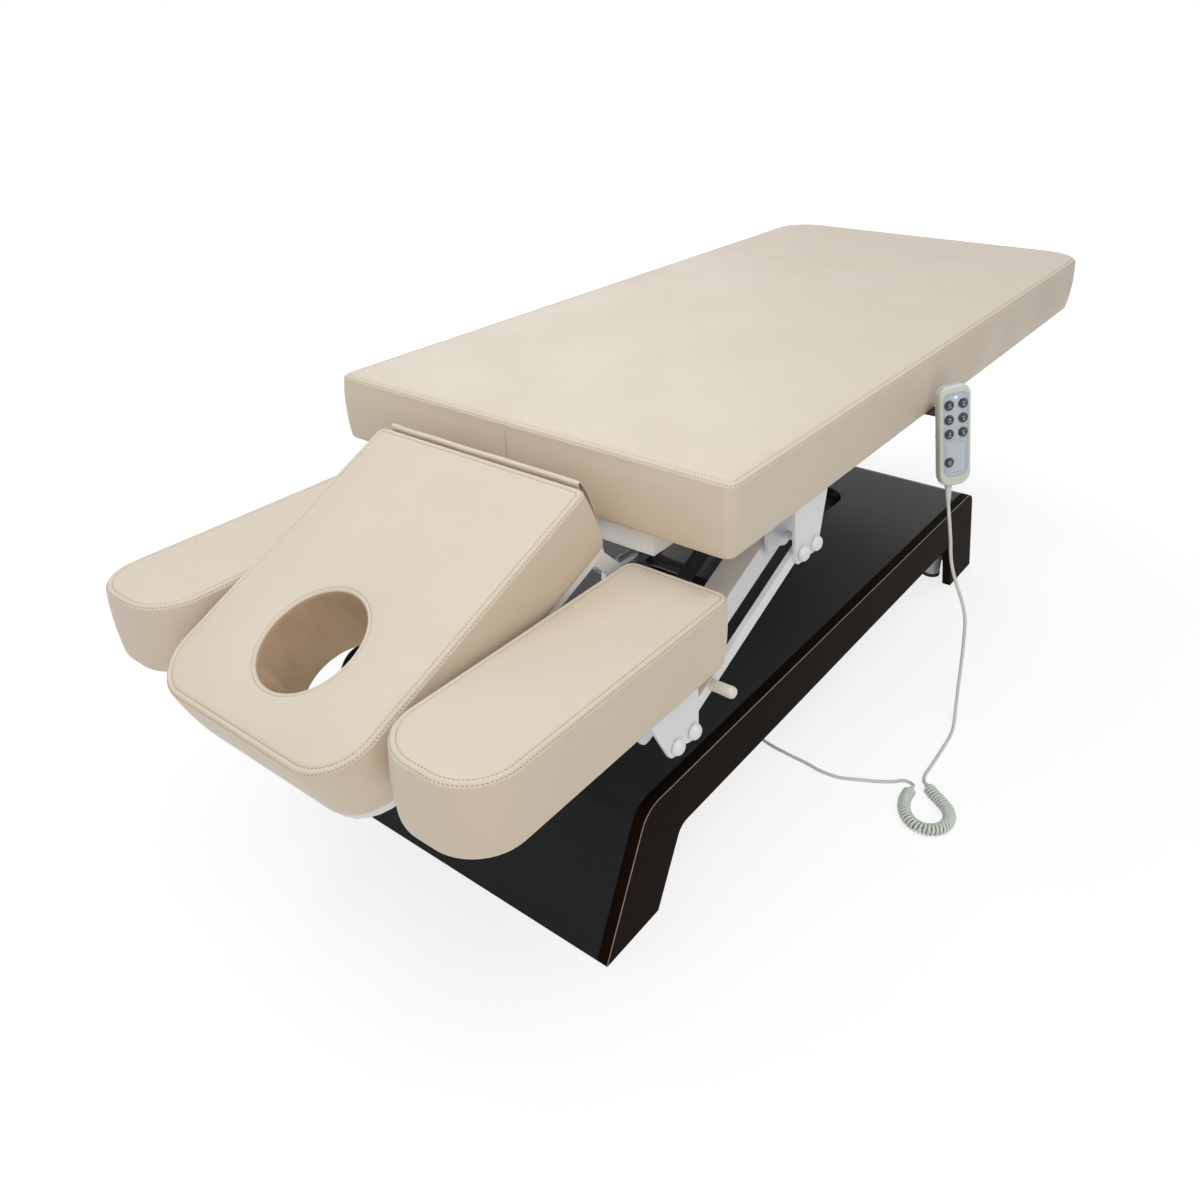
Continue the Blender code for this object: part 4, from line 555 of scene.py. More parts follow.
def knob_plastic(hues):
    return plain("knob_plastic", hues).set(Coat_Weight=0.35, Coat_Roughness=0.12)


MAKERS = {maker.__name__: maker for maker in (
    cream_vinyl, lining_vinyl, sewing_thread, black_laminate, brown_board, bright_steel, plywood,
    lamp_lens, knob_plastic)}
FINISHES = {}


def finish(name):
    """The material of that name, made on its first use."""
    if name not in FINISHES:
        hues = bpy.context.scene.table_colours
        look = MAKERS[name](hues) if name in MAKERS else plain(name, hues)
        FINISHES[name] = look.material
    return FINISHES[name]


def dress(names, look):
    """Gives CAD parts their finish."""
    for name in names:
        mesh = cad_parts[name].data
        for index in range(len(mesh.materials)):
            mesh.materials[index] = finish(look)
        if not mesh.materials:
            mesh.materials.append(finish(look))


# Outlines and covers of the pads

LEAST_CORNER = 0.005
CORNER_STEPS = 12
BOARD_LIP = 0.0118
TOP_EDGE = 0.025
# Up to this height over a pad's bottom its cover lies even
EVEN_BELOW = 0.003
SEAM_STEP = 0.0018
UP = Vector((0, 0, 1))


def pad_outline(low, high, radii, inset, run_shares):
    """A rounded four-cornered outline with the same number of points at any inset.

    It starts halfway round the corner at low and goes along +X first. radii holds the corner
    radius at the near and the far end, and run_shares where points lie on the straight sides.
    """
    corners = (
        (low[0] + inset, low[1] + inset, radii[0], 1, 1),
        (high[0] - inset, low[1] + inset, radii[1], -1, 1),
        (high[0] - inset, high[1] - inset, radii[1], -1, -1),
        (low[0] + inset, high[1] - inset, radii[0], 1, -1),
    )
    arcs = []
    for k, (x, y, radius, to_x, to_y) in enumerate(corners):
        round_by = max(radius - inset, min(radius, LEAST_CORNER))
        arc = []
        for s in range(CORNER_STEPS + 1):
            angle = math.pi + (k + s / CORNER_STEPS) * math.pi / 2
            across = x + to_x * round_by + round_by * math.cos(angle)
            arc.append((across, y + to_y * round_by + round_by * math.sin(angle)))
        arcs.append(arc)
    ring = arcs[0][CORNER_STEPS // 2:]
    for k in range(4):
        following = arcs[(k + 1) % 4]
        start, end = Vector(arcs[k][-1]), Vector(following[0])
        shares = run_shares[k % 2]
        if k in (2, 3):
            shares = [1 - share for share in reversed(shares)]
        ring += [tuple(start.lerp(end, share)) for share in shares]
        ring += following if k < 3 else following[:CORNER_STEPS // 2]
    return ring


def even_shares(count, extra=()):
    """Even steps between 0 and 1, with some more where a seam or crease needs them."""
    shares = {round(k / count, 5) for k in range(1, count)}
    for share in extra:
        near = [other for other in shares if abs(other - share) < 0.25 / count]
        shares.difference_update(near)
        shares.add(round(share, 5))
    return sorted(shares)


def sewing():
    return bpy.context.scene.pad_sewing


def ripple(point, size, reach):
    """Height of a soft ripple at a point, the same each time."""
    return noise.noise(Vector(point) / size + Vector((7.3, 1.9, 4.1))) * reach


def edge_ripple(point, inset):
    """The ripple of a pad's rings, weaker towards its outer edge."""
    return ripple(point, 0.022, sewing().ripple) * min(max(inset / 0.006, 0.25), 1)


def bell(away, width):
    """1 in the middle, fading to both sides."""
    return math.exp(-(away / width) ** 2)


def beside(place, step, count, whole):
    """Places on both sides of one, as shares of a whole run."""
    return [(place + k * step) / whole for k in range(-count, count + 1)]


def side_profile(bottom, top, pocket, lip, bulge):
    """Inset and height of each ring, from the board's pocket up to the flat of the top."""
    sew = sewing()
    height = top - bottom
    first, second, deep = sew.first_row, sew.second_row, sew.row_depth
    rows = []
    if pocket:
        rows += [(lip, bottom + pocket), (lip, bottom + 0.0004)]
    rows += [(lip - 0.0012, bottom), (0.0042, bottom), (0.0012, bottom + 0.0012), (0, bottom + 0.0045)]
    rows += [(-bulge * share, bottom + height * up) for up, share in (
        (0.12, 0.4), (0.25, 0.8), (0.40, 1.0), (0.56, 1.0), (0.72, 0.75), (0.83, 0.35))]
    rows += [(0, top - 0.0085), (0.0001, top - 0.0062), (0.0004, top - 0.0044), (0.0010, top - 0.0032)]
    rows += [(first - 0.0003, top - 0.0027 - deep * 0.3), (first, top - 0.0025 - deep * 0.5)]
    rows += [(first + 0.0004, top - 0.0020), (first + 0.0014, top - 0.0008), (first + 0.0028, top)]
    rows += [((first + second) / 2, top + 0.0003), (second - 0.0018, top - 0.0001)]
    rows += [(second - 0.0005, top - deep * 0.7), (second, top - 0.0002 - deep)]
    rows += [(second + 0.0005, top - deep * 0.6), (second + 0.0020, top + 0.0003)]
    rows += [(0.0150, top + 0.0008), (0.0200, top + 0.0012), (TOP_EDGE, top + 0.0016)]
    return rows


class SewnPad:
    """A four-cornered pad with a board in its underside and a double-stitched top edge."""

    def __init__(self, low, high, radii, z_span, run_shares, pocket, bulge, shape=None, side=None):
        self.low, self.high, self.radii = low, high, radii
        self.bottom, self.top = z_span
        self.run_shares = run_shares
        self.profile = side_profile(self.bottom, self.top, pocket, BOARD_LIP, bulge)
        self.along = CORNER_STEPS + len(run_shares[0]) + 1
        self.across = CORNER_STEPS + len(run_shares[1]) + 1
        self.shape, self.side = shape, side
        self.skin = Skin()

    def ring(self, inset, z):
        middle = [(low + high) / 2 for low, high in zip(self.low, self.high)]
        ring = []
        for x, y in pad_outline(self.low, self.high, self.radii, inset, self.run_shares):
            point = Vector((x, y, z))
            if self.side and self.bottom + EVEN_BELOW < z < self.top - 0.0035:
                point += self.side(point)
            if z > self.bottom + EVEN_BELOW:
                point.z += edge_ripple(point, inset)
                push = ripple(point * 1.7, 0.05, sewing().ripple * 1.6)
                if inset < 0.0016:
                    out = (point - Vector((*middle, z))).normalized()
                    point += Vector((out.x, out.y, 0)) * min(push, 0.0004)
            if self.shape:
                point.z += self.shape(point)
            ring.append(point)
        return ring

    def lift(self, x, y):
        """How far the filling lifts the cover inside the seams."""
        sew = sewing()
        rise = sew.crown
        for reach in (x - self.low[0], self.high[0] - x, y - self.low[1], self.high[1] - y):
            rise *= 1 - math.exp(-max(reach - TOP_EDGE, 0) / sew.crown_fall)
        return rise

    def build(self):
        self.rows = [self.skin.ring(self.ring(inset, z)) for inset, z in self.profile]
        self.skin.loft(self.rows)
        self.close_below()
        self.close_above()
        return self.skin

    def sides(self, ring):
        """A ring's four sides, each from its low end to its high end."""
        along, across = self.along, self.across
        high = ring[along + across:2 * along + across + 1]
        left = ring[2 * along + across:] + [ring[0]]
        return ring[:along + 1], ring[along:along + across + 1], high[::-1], left[::-1]

    def close_below(self):
        """Strips across the pocket's roof."""
        low, right, high, left = self.sides(self.rows[0])
        faces = self.skin.faces
        faces.append((*left[::-1], low[1], high[1]))
        for i in range(1, self.along - 1):
            faces.append((low[i], low[i + 1], high[i + 1], high[i]))
        faces.append((low[-2], *right, high[-2]))

    def close_above(self):
        """A grid of four-sided faces over the top, lifted by the filling."""
        sew = sewing()
        along, across = self.along, self.across
        low, right, high, left = self.sides(self.rows[-1])
        spots = self.skin.points

        def shares(side):
            ways = walked([spots[index] for index in side])
            return [way / ways[-1] for way in ways]

        u_low, u_high, v_left, v_right = shares(low), shares(high), shares(left), shares(right)
        corners = [spots[index] for index in (low[0], low[-1], high[-1], high[0])]
        grid = [low]
        for j in range(1, across):
            row = []
            for i in range(1, along):
                u = (u_low[i] * (across - j) + u_high[i] * j) / across
                v = (v_left[j] * (along - i) + v_right[j] * i) / along
                sides = spots[low[i]] * (1 - v) + spots[high[i]] * v
                sides += spots[left[j]] * (1 - u) + spots[right[j]] * u
                ends = corners[0] * (1 - u) * (1 - v) + corners[1] * u * (1 - v)
                ends += corners[2] * u * v + corners[3] * (1 - u) * v
                point = sides - ends
                point.z = self.profile[-1][1] + self.lift(point.x, point.y)
                waves = ripple(point, 0.15, sew.ripple * 1.8)
                point.z += waves + ripple(point, 0.022, sew.ripple * 0.5)
                if self.shape:
                    point.z += self.shape(point)
                row.append(point)
            grid.append([left[j], *self.skin.ring(row), right[j]])
        self.skin.loft([*grid, high], closed=False)

    def row_line(self, wanted):
        """The points of the ring that lies nearest to an inset on the pad's top."""
        best = min(range(len(self.profile)), key=lambda k: (
            abs(self.profile[k][0] - wanted) + (1 if self.profile[k][1] < self.top - 0.006 else 0)))
        return [self.skin.points[index] for index in self.rows[best]]


def stitches(skin, line, up, closed=True):
    """Small stitches laid along a line of points."""
    sew = sewing()
    points = [*line, line[0]] if closed else list(line)
    total = run_of(points)
    count = max(1, round(total / sew.stitch_pitch))
    pitch = total / count
    half, thick = sew.stitch_length / 2, sew.thread_radius
    index, walked = 0, 0.0
    for k in range(count):
        target = (k + 0.5) * pitch
        while walked + (points[index + 1] - points[index]).length < target:
            walked += (points[index + 1] - points[index]).length
            index += 1
        along = (points[index + 1] - points[index]).normalized()
        above = (up - along * up.dot(along)).normalized()
        side = along.cross(above)
        centre = points[index] + along * (target - walked) + above * thick * 0.75
        sunk = above * thick * 1.5
        start = len(skin.points)
        skin.points.append(centre - along * half - sunk)
        for reach in (-0.55, 0.55):
            middle = centre + along * half * reach
            skin.points += [middle + way * thick for way in (above, side, -above, -side)]
        skin.points.append(centre + along * half - sunk)
        for n in range(1, 5):
            m = n % 4 + 1
            skin.faces.append((start, start + m, start + n))
            skin.faces.append((start + n, start + m, start + 4 + m, start + 4 + n))
            skin.faces.append((start + 4 + n, start + 4 + m, start + 9))


def top_stitches(pad):
    """Both rows of stitches round a pad's top."""
    sew = sewing()
    sewn = Skin()
    for inset in (sew.first_row, sew.second_row):
        stitches(sewn, pad.row_line(inset), UP)
    return sewn


def sewn_cover(names, skin, sewn, body, replaced):
    """A cushion's cover and its stitches, riding on one body."""
    cover = skin.fitting(names[0], "cream_vinyl", 180, "cream_vinyl", body)
    sewn.fitting(names[1], "sewing_thread", 180, "cream_vinyl", body)
    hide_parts(replaced)
    return cover


# Long pad over the main and the foot section

PAD_TOP = 0.664
PAD_BOTTOM = 0.564
PAD_LENGTH = 1.460
PAD_HALF = 0.350
PAD_CORNERS = (0.016, 0.080)
CREASE_X = 1.070
CREASE_STEP = 0.0035
CREASE_MARGIN = 0.010
CREASE_FADE = 0.075
# The shallower crease beside it: how far towards the foot, its width and depth as shares
SECOND_CREASE = (0.034, 0.8, 0.28)
SIDE_SEAM_X = 0.660


def crease(point):
    """The soft valley across the pad where the foot section folds."""
    sew = sewing()
    reach = PAD_HALF - abs(point.y)
    if point.z < PAD_TOP - 0.004 or reach < CREASE_MARGIN:
        return 0.0
    fade = min((reach - CREASE_MARGIN) / CREASE_FADE, 1) ** 2
    wander = noise.noise(Vector((point.y * 9, 3.1, 0.4))) * 0.3
    away = (point.x - CREASE_X) / sew.crease_width + wander
    apart, width, depth = SECOND_CREASE
    second = (point.x - CREASE_X - apart) / (sew.crease_width * width) - wander
    valleys = bell(away, 1) + depth * bell(second, 1)
    return -sew.crease_depth * valleys * (0.10 + 0.90 * fade)


def boxing_seams(point):
    """The upright seams in the pad's sides draw the cover in."""
    push = Vector((0, 0, 0))
    if abs(abs(point.y) - PAD_HALF) < 0.004:
        away = abs(point.x - SIDE_SEAM_X)
        depth = 0.0006 * bell(away, 0.0020) - 0.0002 * bell(away - 0.006, 0.004)
        push.y = -math.copysign(depth, point.y)
    if point.x < 0.004:
        away = abs(point.y)
        push.x = 0.0012 * bell(away, 0.0019) - 0.0005 * bell(away - 0.006, 0.004)
    return push


def long_pad():
    near = PAD_CORNERS[0]
    straight = PAD_LENGTH - near - PAD_CORNERS[1]
    width = 2 * PAD_HALF - sum(PAD_CORNERS)
    seam = beside(SIDE_SEAM_X - near, SEAM_STEP, 6, straight)
    fold = beside(CREASE_X - near, CREASE_STEP, 9, straight)
    middle = beside(width / 2, SEAM_STEP, 6, width)
    runs = (even_shares(150, seam + fold), even_shares(66, middle))
    pad = SewnPad(
        (0, -PAD_HALF), (PAD_LENGTH, PAD_HALF), PAD_CORNERS, (PAD_BOTTOM, PAD_TOP), runs,
        pocket=0.0153, bulge=0.0034, shape=crease, side=boxing_seams)
    skin = pad.build()
    for index in pad.rows[0]:
        point = skin.points[index]
        point.z += 0.005 * math.exp(-((point.x - CREASE_X) / 0.030) ** 4)
    skin.turn(lambda point: point + SHIFT)
    cover = skin.piece("long_pad", "cream_vinyl")
    sewn = top_stitches(pad)
    upright = [Vector((-0.0033, 0.0046, PAD_BOTTOM + z / 1000)) + SHIFT for z in range(14, 92, 4)]
    stitches(sewn, upright, Vector((-1, 0, 0)), closed=False)
    rows = sewn.piece("long_pad_stitches", "sewing_thread")
    for item in (cover, rows):
        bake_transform(item)
    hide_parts("main_cushion", "foot_cushion")


# Headrest pad with its breathing hole

HEAD_REAR = -0.010
HEAD_FRONT = -0.470
HEAD_LOW = 0.0108
TOP_STEPS = 20
HEAD_HIGH = 0.1078
HEAD_REAR_HALF = 0.185
HEAD_FRONT_HALF = 0.173
HEAD_CORNERS = (0.070, 0.014)
HEAD_LIP = 0.014
HEAD_BULGE = 0.0020
HOLE_X = -0.3325
HOLE_HALF = (0.073, 0.067)
HOLE_SEAM = 1.9
# Folds of the hole's wall: how far under the top they begin, over what way they grow, how deep
FOLD_START = 0.008
FOLD_FADE = 0.040
FOLD_DEPTHS = (0.0085, 0.0025)
HOLE_STITCHES = 0.0060
# Row from which the hole's wall takes the darker vinyl of painted shade.
HOLE_SHADE_TOP = 0.0012
# The cover's way from the top down the hole: outward from the hole's edge, and height over the top
HOLE_PROFILE = (
    (0.0200, 0.0016), (0.0140, 0.0011), (0.0086, 0.0005), (0.0068, -0.0001), (HOLE_STITCHES, None),
    (0.0051, -0.0003), (0.0038, -0.0002), (0.0024, -0.0009), (HOLE_SHADE_TOP, -0.0022), (0.0003, -0.0044),
    (-0.0003, -0.0080), (-0.0010, -0.0150), (-0.0018, -0.0225), (-0.0024, -0.0300), (-0.0030, -0.0390),
    (-0.0036, -0.0480), (-0.0040, -0.0580), (-0.0044, -0.0680), (-0.0047, -0.0770), (-0.0050, -0.0860),
    (-0.0054, -0.0990), (-0.0054, -0.1040), (-0.0044, -0.1060), (-0.0030, -0.1060), (-0.0018, -0.1040),
    (-0.0012, -0.0975))


def headrest_pad():
    sew = sewing()
    runs = (even_shares(44), even_shares(30))
    profile = side_profile(HEAD_LOW, HEAD_HIGH, 0, HEAD_LIP, HEAD_BULGE)
    skin = Skin()

    def taper(x, y):
        share = (x - HEAD_FRONT) / (HEAD_REAR - HEAD_FRONT)
        return y * (HEAD_FRONT_HALF + (HEAD_REAR_HALF - HEAD_FRONT_HALF) * share) / HEAD_REAR_HALF

    def outer(inset, z):
        flat = pad_outline(
            (HEAD_FRONT, -HEAD_REAR_HALF), (HEAD_REAR, HEAD_REAR_HALF), HEAD_CORNERS, inset, runs)
        ring = []
        for x, y in flat:
            point = Vector((x, taper(x, y), z))
            if z > HEAD_LOW + EVEN_BELOW:
                point.z += edge_ripple(point, inset)
            ring.append(point)
        return ring

    outline = outer(0, HEAD_HIGH)
    angles = [math.atan2(point.y, point.x - HOLE_X) for point in outline]

    def gathers(angle, z):
        """The cover of the hole's wall is drawn into soft upright folds, with one sewn seam."""
        low = min(max(HEAD_HIGH - FOLD_START - z, 0) / FOLD_FADE, 1)
        turn = Vector((math.cos(angle) * 2.4, math.sin(angle) * 2.4, z * 7))
        deep, fine = FOLD_DEPTHS
        fold = noise.noise(turn) * deep + noise.noise(turn * 2.3) * fine - 0.0012
        seam = bell((angle - HOLE_SEAM + math.pi) % math.tau - math.pi, 0.035) * 0.0016
        return (fold + seam) * low

    def hole(grow, z):
        ring = []
        for angle in angles:
            draw = grow + (gathers(angle, z) if z > HEAD_LOW + 0.002 else 0)
            reach = 1 / math.hypot(
                math.cos(angle) / (HOLE_HALF[0] + draw), math.sin(angle) / (HOLE_HALF[1] + draw))
            point = Vector((HOLE_X + reach * math.cos(angle), reach * math.sin(angle), z))
            if z > HEAD_LOW + 0.02:
                point.z += ripple(point, 0.02, sew.ripple * 0.8)
            ring.append(point)
        return ring

    rows = [skin.ring(outer(inset, z)) for inset, z in profile]
    lines = {
        round(inset, 5): row for (inset, z), row in zip(profile, rows) if z > HEAD_HIGH - 0.006}
    rim = [skin.points[index].copy() for index in rows[-1]]
    inner = hole(HOLE_PROFILE[0][0], HEAD_HIGH + HOLE_PROFILE[0][1])
    for k in range(1, TOP_STEPS):
        share = k / TOP_STEPS
        ring = []
        for a, b in zip(rim, inner):
            point = a.lerp(b, share)
            width = (a - b).length
            swell = sew.crown * (1 - math.exp(-width * share / 0.03))
            swell *= 1 - math.exp(-width * (1 - share) / 0.03)
            point.z += swell + ripple(point, 0.11, sew.ripple * 1.6)
            ring.append(point)
        rows.append(skin.ring(ring))
    for grow, drop in HOLE_PROFILE:
        if drop is None:
            drop = -0.0003 - sew.row_depth
        rows.append(skin.ring(hole(grow, HEAD_HIGH + drop)))
        if grow == HOLE_STITCHES:
            hole_line = rows[-1]
        elif grow == HOLE_SHADE_TOP:
            hole_shade_row = len(rows) - 1
    rows.append(skin.ring(hole(0.0045, HEAD_LOW)))
    skin.loft([*rows, rows[0]])
    round_count = len(rim)
    sewn = Skin()
    for wanted in (sew.first_row, sew.second_row):
        nearest = min(lines, key=lambda inset: abs(inset - wanted))
        stitches(sewn, [skin.points[index] for index in lines[nearest]], UP)
    stitches(sewn, [skin.points[index] for index in hole_line], UP)
    for part in (skin, sewn):
        part.turn(lambda point: on_headrest(*point))
    cover = sewn_cover(
        ("headrest_pad", "headrest_stitches"), skin, sewn, "headrest", "headrest_cushion")
    # From that row down, the hole's wall takes the darker vinyl as painted shade.
    cover.data.materials.append(finish("lining_vinyl"))
    for face in cover.data.polygons[hole_shade_row * round_count:(len(rows) - 1) * round_count]:
        face.material_index = 1


# Armrest pads

ARMREST_LOW = (-0.448, 0.1905)
ARMREST_HIGH = (0.014, 0.350)
ARMREST_CORNERS = (0.066, 0.020)
ARMREST_HEIGHTS = (0.412, 0.512)


def armrest_pad(name, sense):
    pad = SewnPad(
        ARMREST_LOW, ARMREST_HIGH, ARMREST_CORNERS, ARMREST_HEIGHTS, (even_shares(46), even_shares(14)),
        pocket=0.0123, bulge=0.0022)
    skin = pad.build()
    sewn = top_stitches(pad)
    for part in (skin, sewn):
        part.turn(lambda point: Vector((point.x, point.y * sense, point.z)) + SHIFT)
    body = name + "_armrest"
    sewn_cover((body + "_pad", body + "_stitches"), skin, sewn, body, body + "_cushion")


# Flap between the headrest and the long pad

FLAP_FRONT = -0.0066
FLAP_BACK = -0.0006
FLAP_LOW = 0.0214
FLAP_HALF = 0.1675
FLAP_STEPS = 84
FLAP_LEG_STEPS = 14
FLAP_BEND_STEPS = 12
FLAP_THICKNESS = 0.0014


def flap():
    """A folded strip of the same vinyl, standing against the headrest's rear face."""
    radius = (FLAP_BACK - FLAP_FRONT) / 2
    bend = HEAD_HIGH - radius
    leg = bend - FLAP_LOW
    section = []
    leg_shares = [k / FLAP_LEG_STEPS for k in range(FLAP_LEG_STEPS + 1)]
    for share in leg_shares:
        section.append((FLAP_FRONT - 0.0006 * math.sin(share * math.pi), FLAP_LOW + leg * share))
    for k in range(1, FLAP_BEND_STEPS):
        angle = math.pi * (1 - k / FLAP_BEND_STEPS)
        section.append((
            FLAP_FRONT + radius + radius * math.cos(angle), bend + radius * math.sin(angle)))
    for share in leg_shares:
        belly = 0.0042 * math.sin(share ** 0.8 * math.pi) ** 1.2
        section.append((FLAP_BACK + belly, bend - leg * share))
    skin = Skin()
    rows = []
    for n in range(FLAP_STEPS + 1):
        y = -FLAP_HALF + 2 * FLAP_HALF * n / FLAP_STEPS
        ring = []
        for x, z in section:
            high = max(z - 0.06, 0) / 0.05
            sway = noise.noise(Vector((y * 16, z * 9, 1.7))) * 0.0009
            sag = noise.noise(Vector((y * 11, 0.3, 8.2))) * 0.0011 * high
            ring.append(on_headrest(x + sway * (0.3 + high), y, z + sag))
        rows.append(skin.ring(ring))
    skin.loft(rows, closed=False)
    item = skin.piece("headrest_flap_sheet", "cream_vinyl")
    thick = item.modifiers.new("thickness", "SOLIDIFY")
    thick.thickness = FLAP_THICKNESS
    thick.offset = 0
    bpy.context.view_layer.update()
    graph = bpy.context.evaluated_depsgraph_get()
    solid = bpy.data.meshes.new_from_object(item.evaluated_get(graph))
    item.modifiers.clear()
    item.data = solid
    solid.shade_smooth()
    solid.set_sharp_from_angle(angle=math.radians(60))
    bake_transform(item)
    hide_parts("headrest_flap")


# Handset cord: hanging part, curls, and the run to the control box

CORD_RADIUS = 0.0029
CORD_STEP = 0.009
CURL_WIRE = 0.0023
CURL_RADIUS = 0.0083
CURL_COUNT = 42
CURL_STEP = 0.004
FLOOR_LINE = CORD_RADIUS + 0.0004
CURL_HEIGHT = CURL_RADIUS + CURL_WIRE + 0.0004
FIT = 0.0003
CURL_START = 0.75
SLEEVE_X = -0.008
SLEEVE_END = -0.114
HANDSET_MIDDLE = 0.010
# Points of the cord in table coordinates. In the air each has a share of the sleeve's height.
AIR_ROUTE = (
    (0.608, -0.427, 0.832), (0.612, -0.4335, 0.740), (0.618, -0.446, 0.647), (0.623, -0.461, 0.566),
    (0.629, -0.471, 0.486), (0.633, -0.476, 0.382), (0.633, -0.480, 0.277), (0.628, -0.485, 0.160),
    (0.615, -0.492, 0.062), (0.594, -0.500, 0.0165))
LANDED_ROUTE = (
    (0.570, -0.505), (0.546, -0.507), (0.505, -0.5085), (0.464, -0.5095), (0.434, -0.510))
CURL_ROUTE = (
    (0.400, -0.527), (0.389, -0.540), (0.378, -0.558), (0.363, -0.576), (0.344, -0.584),
    (0.323, -0.582), (0.307, -0.570), (0.301, -0.553), (0.307, -0.533), (0.325, -0.517),
    (0.350, -0.508), (0.375, -0.507))
BOX_ROUTE = (
    (0.398, -0.5035), (0.402, -0.494), (0.3985, -0.485), (0.389, -0.476), (0.378, -0.463),
    (0.367, -0.445), (0.354, -0.421), (0.341, -0.395), (0.337, -0.361), (0.341, -0.334),
    (0.343, -0.298), (0.351, -0.243))
GLAND_X = 0.360
GLAND_HEIGHT = 0.0963
HANDSET_TURN = (
    Matrix.Rotation(math.radians(-42.7), 4, "Z")
    @ Matrix.Rotation(math.radians(-7.4), 4, "X")
    @ Matrix.Rotation(math.radians(-6.7), 4, "Y"))
HANDSET_PLACE = Matrix.Translation((0.603, -0.405, 0.5465)) @ HANDSET_TURN


def on_handset(x, y, z):
    """A point of the handset: X along a row of buttons, Y into the housing, Z up it."""
    return HANDSET_PLACE @ Vector((x, y, z)) + SHIFT


def curl_line():
    return [at(x, y, CURL_HEIGHT) for x, y in CURL_ROUTE]


def curl_points(each):
    """The curls, wound round their middle line, with a straight start and end."""
    path = smooth_path(curl_line(), CURL_STEP)
    count = len(path) - 1
    steps = CURL_COUNT * each
    points = []
    for k in range(steps + 1):
        share = k / steps
        index = min(int(share * count), count - 1)
        centre = path[index].lerp(path[index + 1], share * count - index)
        before, after = path[max(index - 1, 0)], path[min(index + 2, count)]
        along = (after - before).normalized()
        side = along.cross(UP).normalized()
        turn = math.tau * CURL_COUNT * share
        ramp = min(1, share * CURL_COUNT / CURL_START, (1 - share) * CURL_COUNT / CURL_START)
        radius = CURL_RADIUS * ramp
        points.append(centre + (side * math.sin(turn) - UP * math.cos(turn)) * radius)
    first = (path[1] - path[0]).normalized()
    last = (path[-1] - path[-2]).normalized()
    points.insert(0, points[0] - first * CURL_WIRE * 2)
    points.append(points[-1] + last * CURL_WIRE * 2)
    return points


def hanging_line():
    """From the handset's sleeve down to the floor, back along it and to the curls."""
    end = SLEEVE_END - FIT * 2
    start = on_handset(SLEEVE_X, HANDSET_MIDDLE, end)
    second = on_handset(SLEEVE_X, HANDSET_MIDDLE, end - CORD_RADIUS * 3)
    points = [at(x, y, start.z * share) for x, y, share in AIR_ROUTE]
    points += [at(x, y, FLOOR_LINE) for x, y in LANDED_ROUTE]
    curls = curl_line()
    into = (curls[1] - curls[0]).normalized()
    meet = curls[0] - into * (CURL_WIRE * 2 + FIT * 2)
    return [start, *smooth_path([second, *points, meet - into * CORD_RADIUS * 3], CORD_STEP), meet]


def box_line():
    """From the end of the curls under the base to the control box."""
    curls = curl_line()
    out = (curls[-1] - curls[-2]).normalized()
    meet = curls[-1] + out * (CURL_WIRE * 2 + FIT * 2)
    gland = -0.152 - FIT
    rise = (
        (-0.205, FLOOR_LINE + 0.012), (-0.182, GLAND_HEIGHT - 0.018),
        (gland - CORD_RADIUS * 3, GLAND_HEIGHT))
    points = [meet + out * CORD_RADIUS * 3, *(at(x, y, FLOOR_LINE) for x, y in BOX_ROUTE)]
    points += [at(GLAND_X, y, z) for y, z in rise]
    return [meet, *smooth_path(points, CORD_STEP), at(GLAND_X, gland, GLAND_HEIGHT)]


def cord_piece(name, path, radius, look, sides, replaced):
    skin = Skin()
    tube(skin, path, radius, sides)
    item = skin.piece(name, look, 80)
    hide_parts(replaced)
    return item


COLLAR = ((0.0030, 0), (0.0034, 0.0004), (0.0034, 0.0046), (0.0030, 0.0054), (0.0026, 0.0056))


def handset_cord():
    hanging = cord_piece(
        "hanging_cord", hanging_line(), CORD_RADIUS, "cord_plastic", 14, "cord_hanging")
    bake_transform(hanging)
    curls = cord_piece(
        "curled_cord", curl_points(22), CURL_WIRE, "curl_plastic", 10, "cord_curly")
    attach(curls, "base")
    below = cord_piece("box_cord", box_line(), CORD_RADIUS, "cord_plastic", 14, "cord_to_box")
    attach(below, "base")
    skin = Skin()
    line = curl_line()
    for here, there in ((line[0], line[1]), (line[-1], line[-2])):
        into = (there - here).normalized()
        turned(skin, here - into * 0.007, into, COLLAR, 20)
    skin.fitting("cord_collars", "cord_plastic", 50, "cord_plastic", "base")


# Base: boards, and thin light bands along their top edges as a painted highlight

HIGHLIGHT_BAND = 0.0007
EDGE_BEND = 0.042
BASE_TOP = 0.2236
BASE_SIDE = 0.310
EDGE_CORNERS = (
    (-0.2032, 0.0030), (-0.110, BASE_TOP - 0.0004), (1.113, BASE_TOP - 0.0004), (1.2062, 0.0030))
BAND_STEP = 0.04
SIDES = (("left", 1), ("right", -1))


def rounded(corner, before, after, radius, steps=10):
    """Points round a corner between two straight runs."""
    into, out = (before - corner).normalized(), (after - corner).normalized()
    half = into.angle(out) / 2
    reach = radius / math.tan(half)
    centre = corner + (into + out).normalized() * radius / math.sin(half)
    start, end = corner + into * reach - centre, corner + out * reach - centre
    return [centre + start.lerp(end, k / steps).normalized() * radius for k in range(steps + 1)]


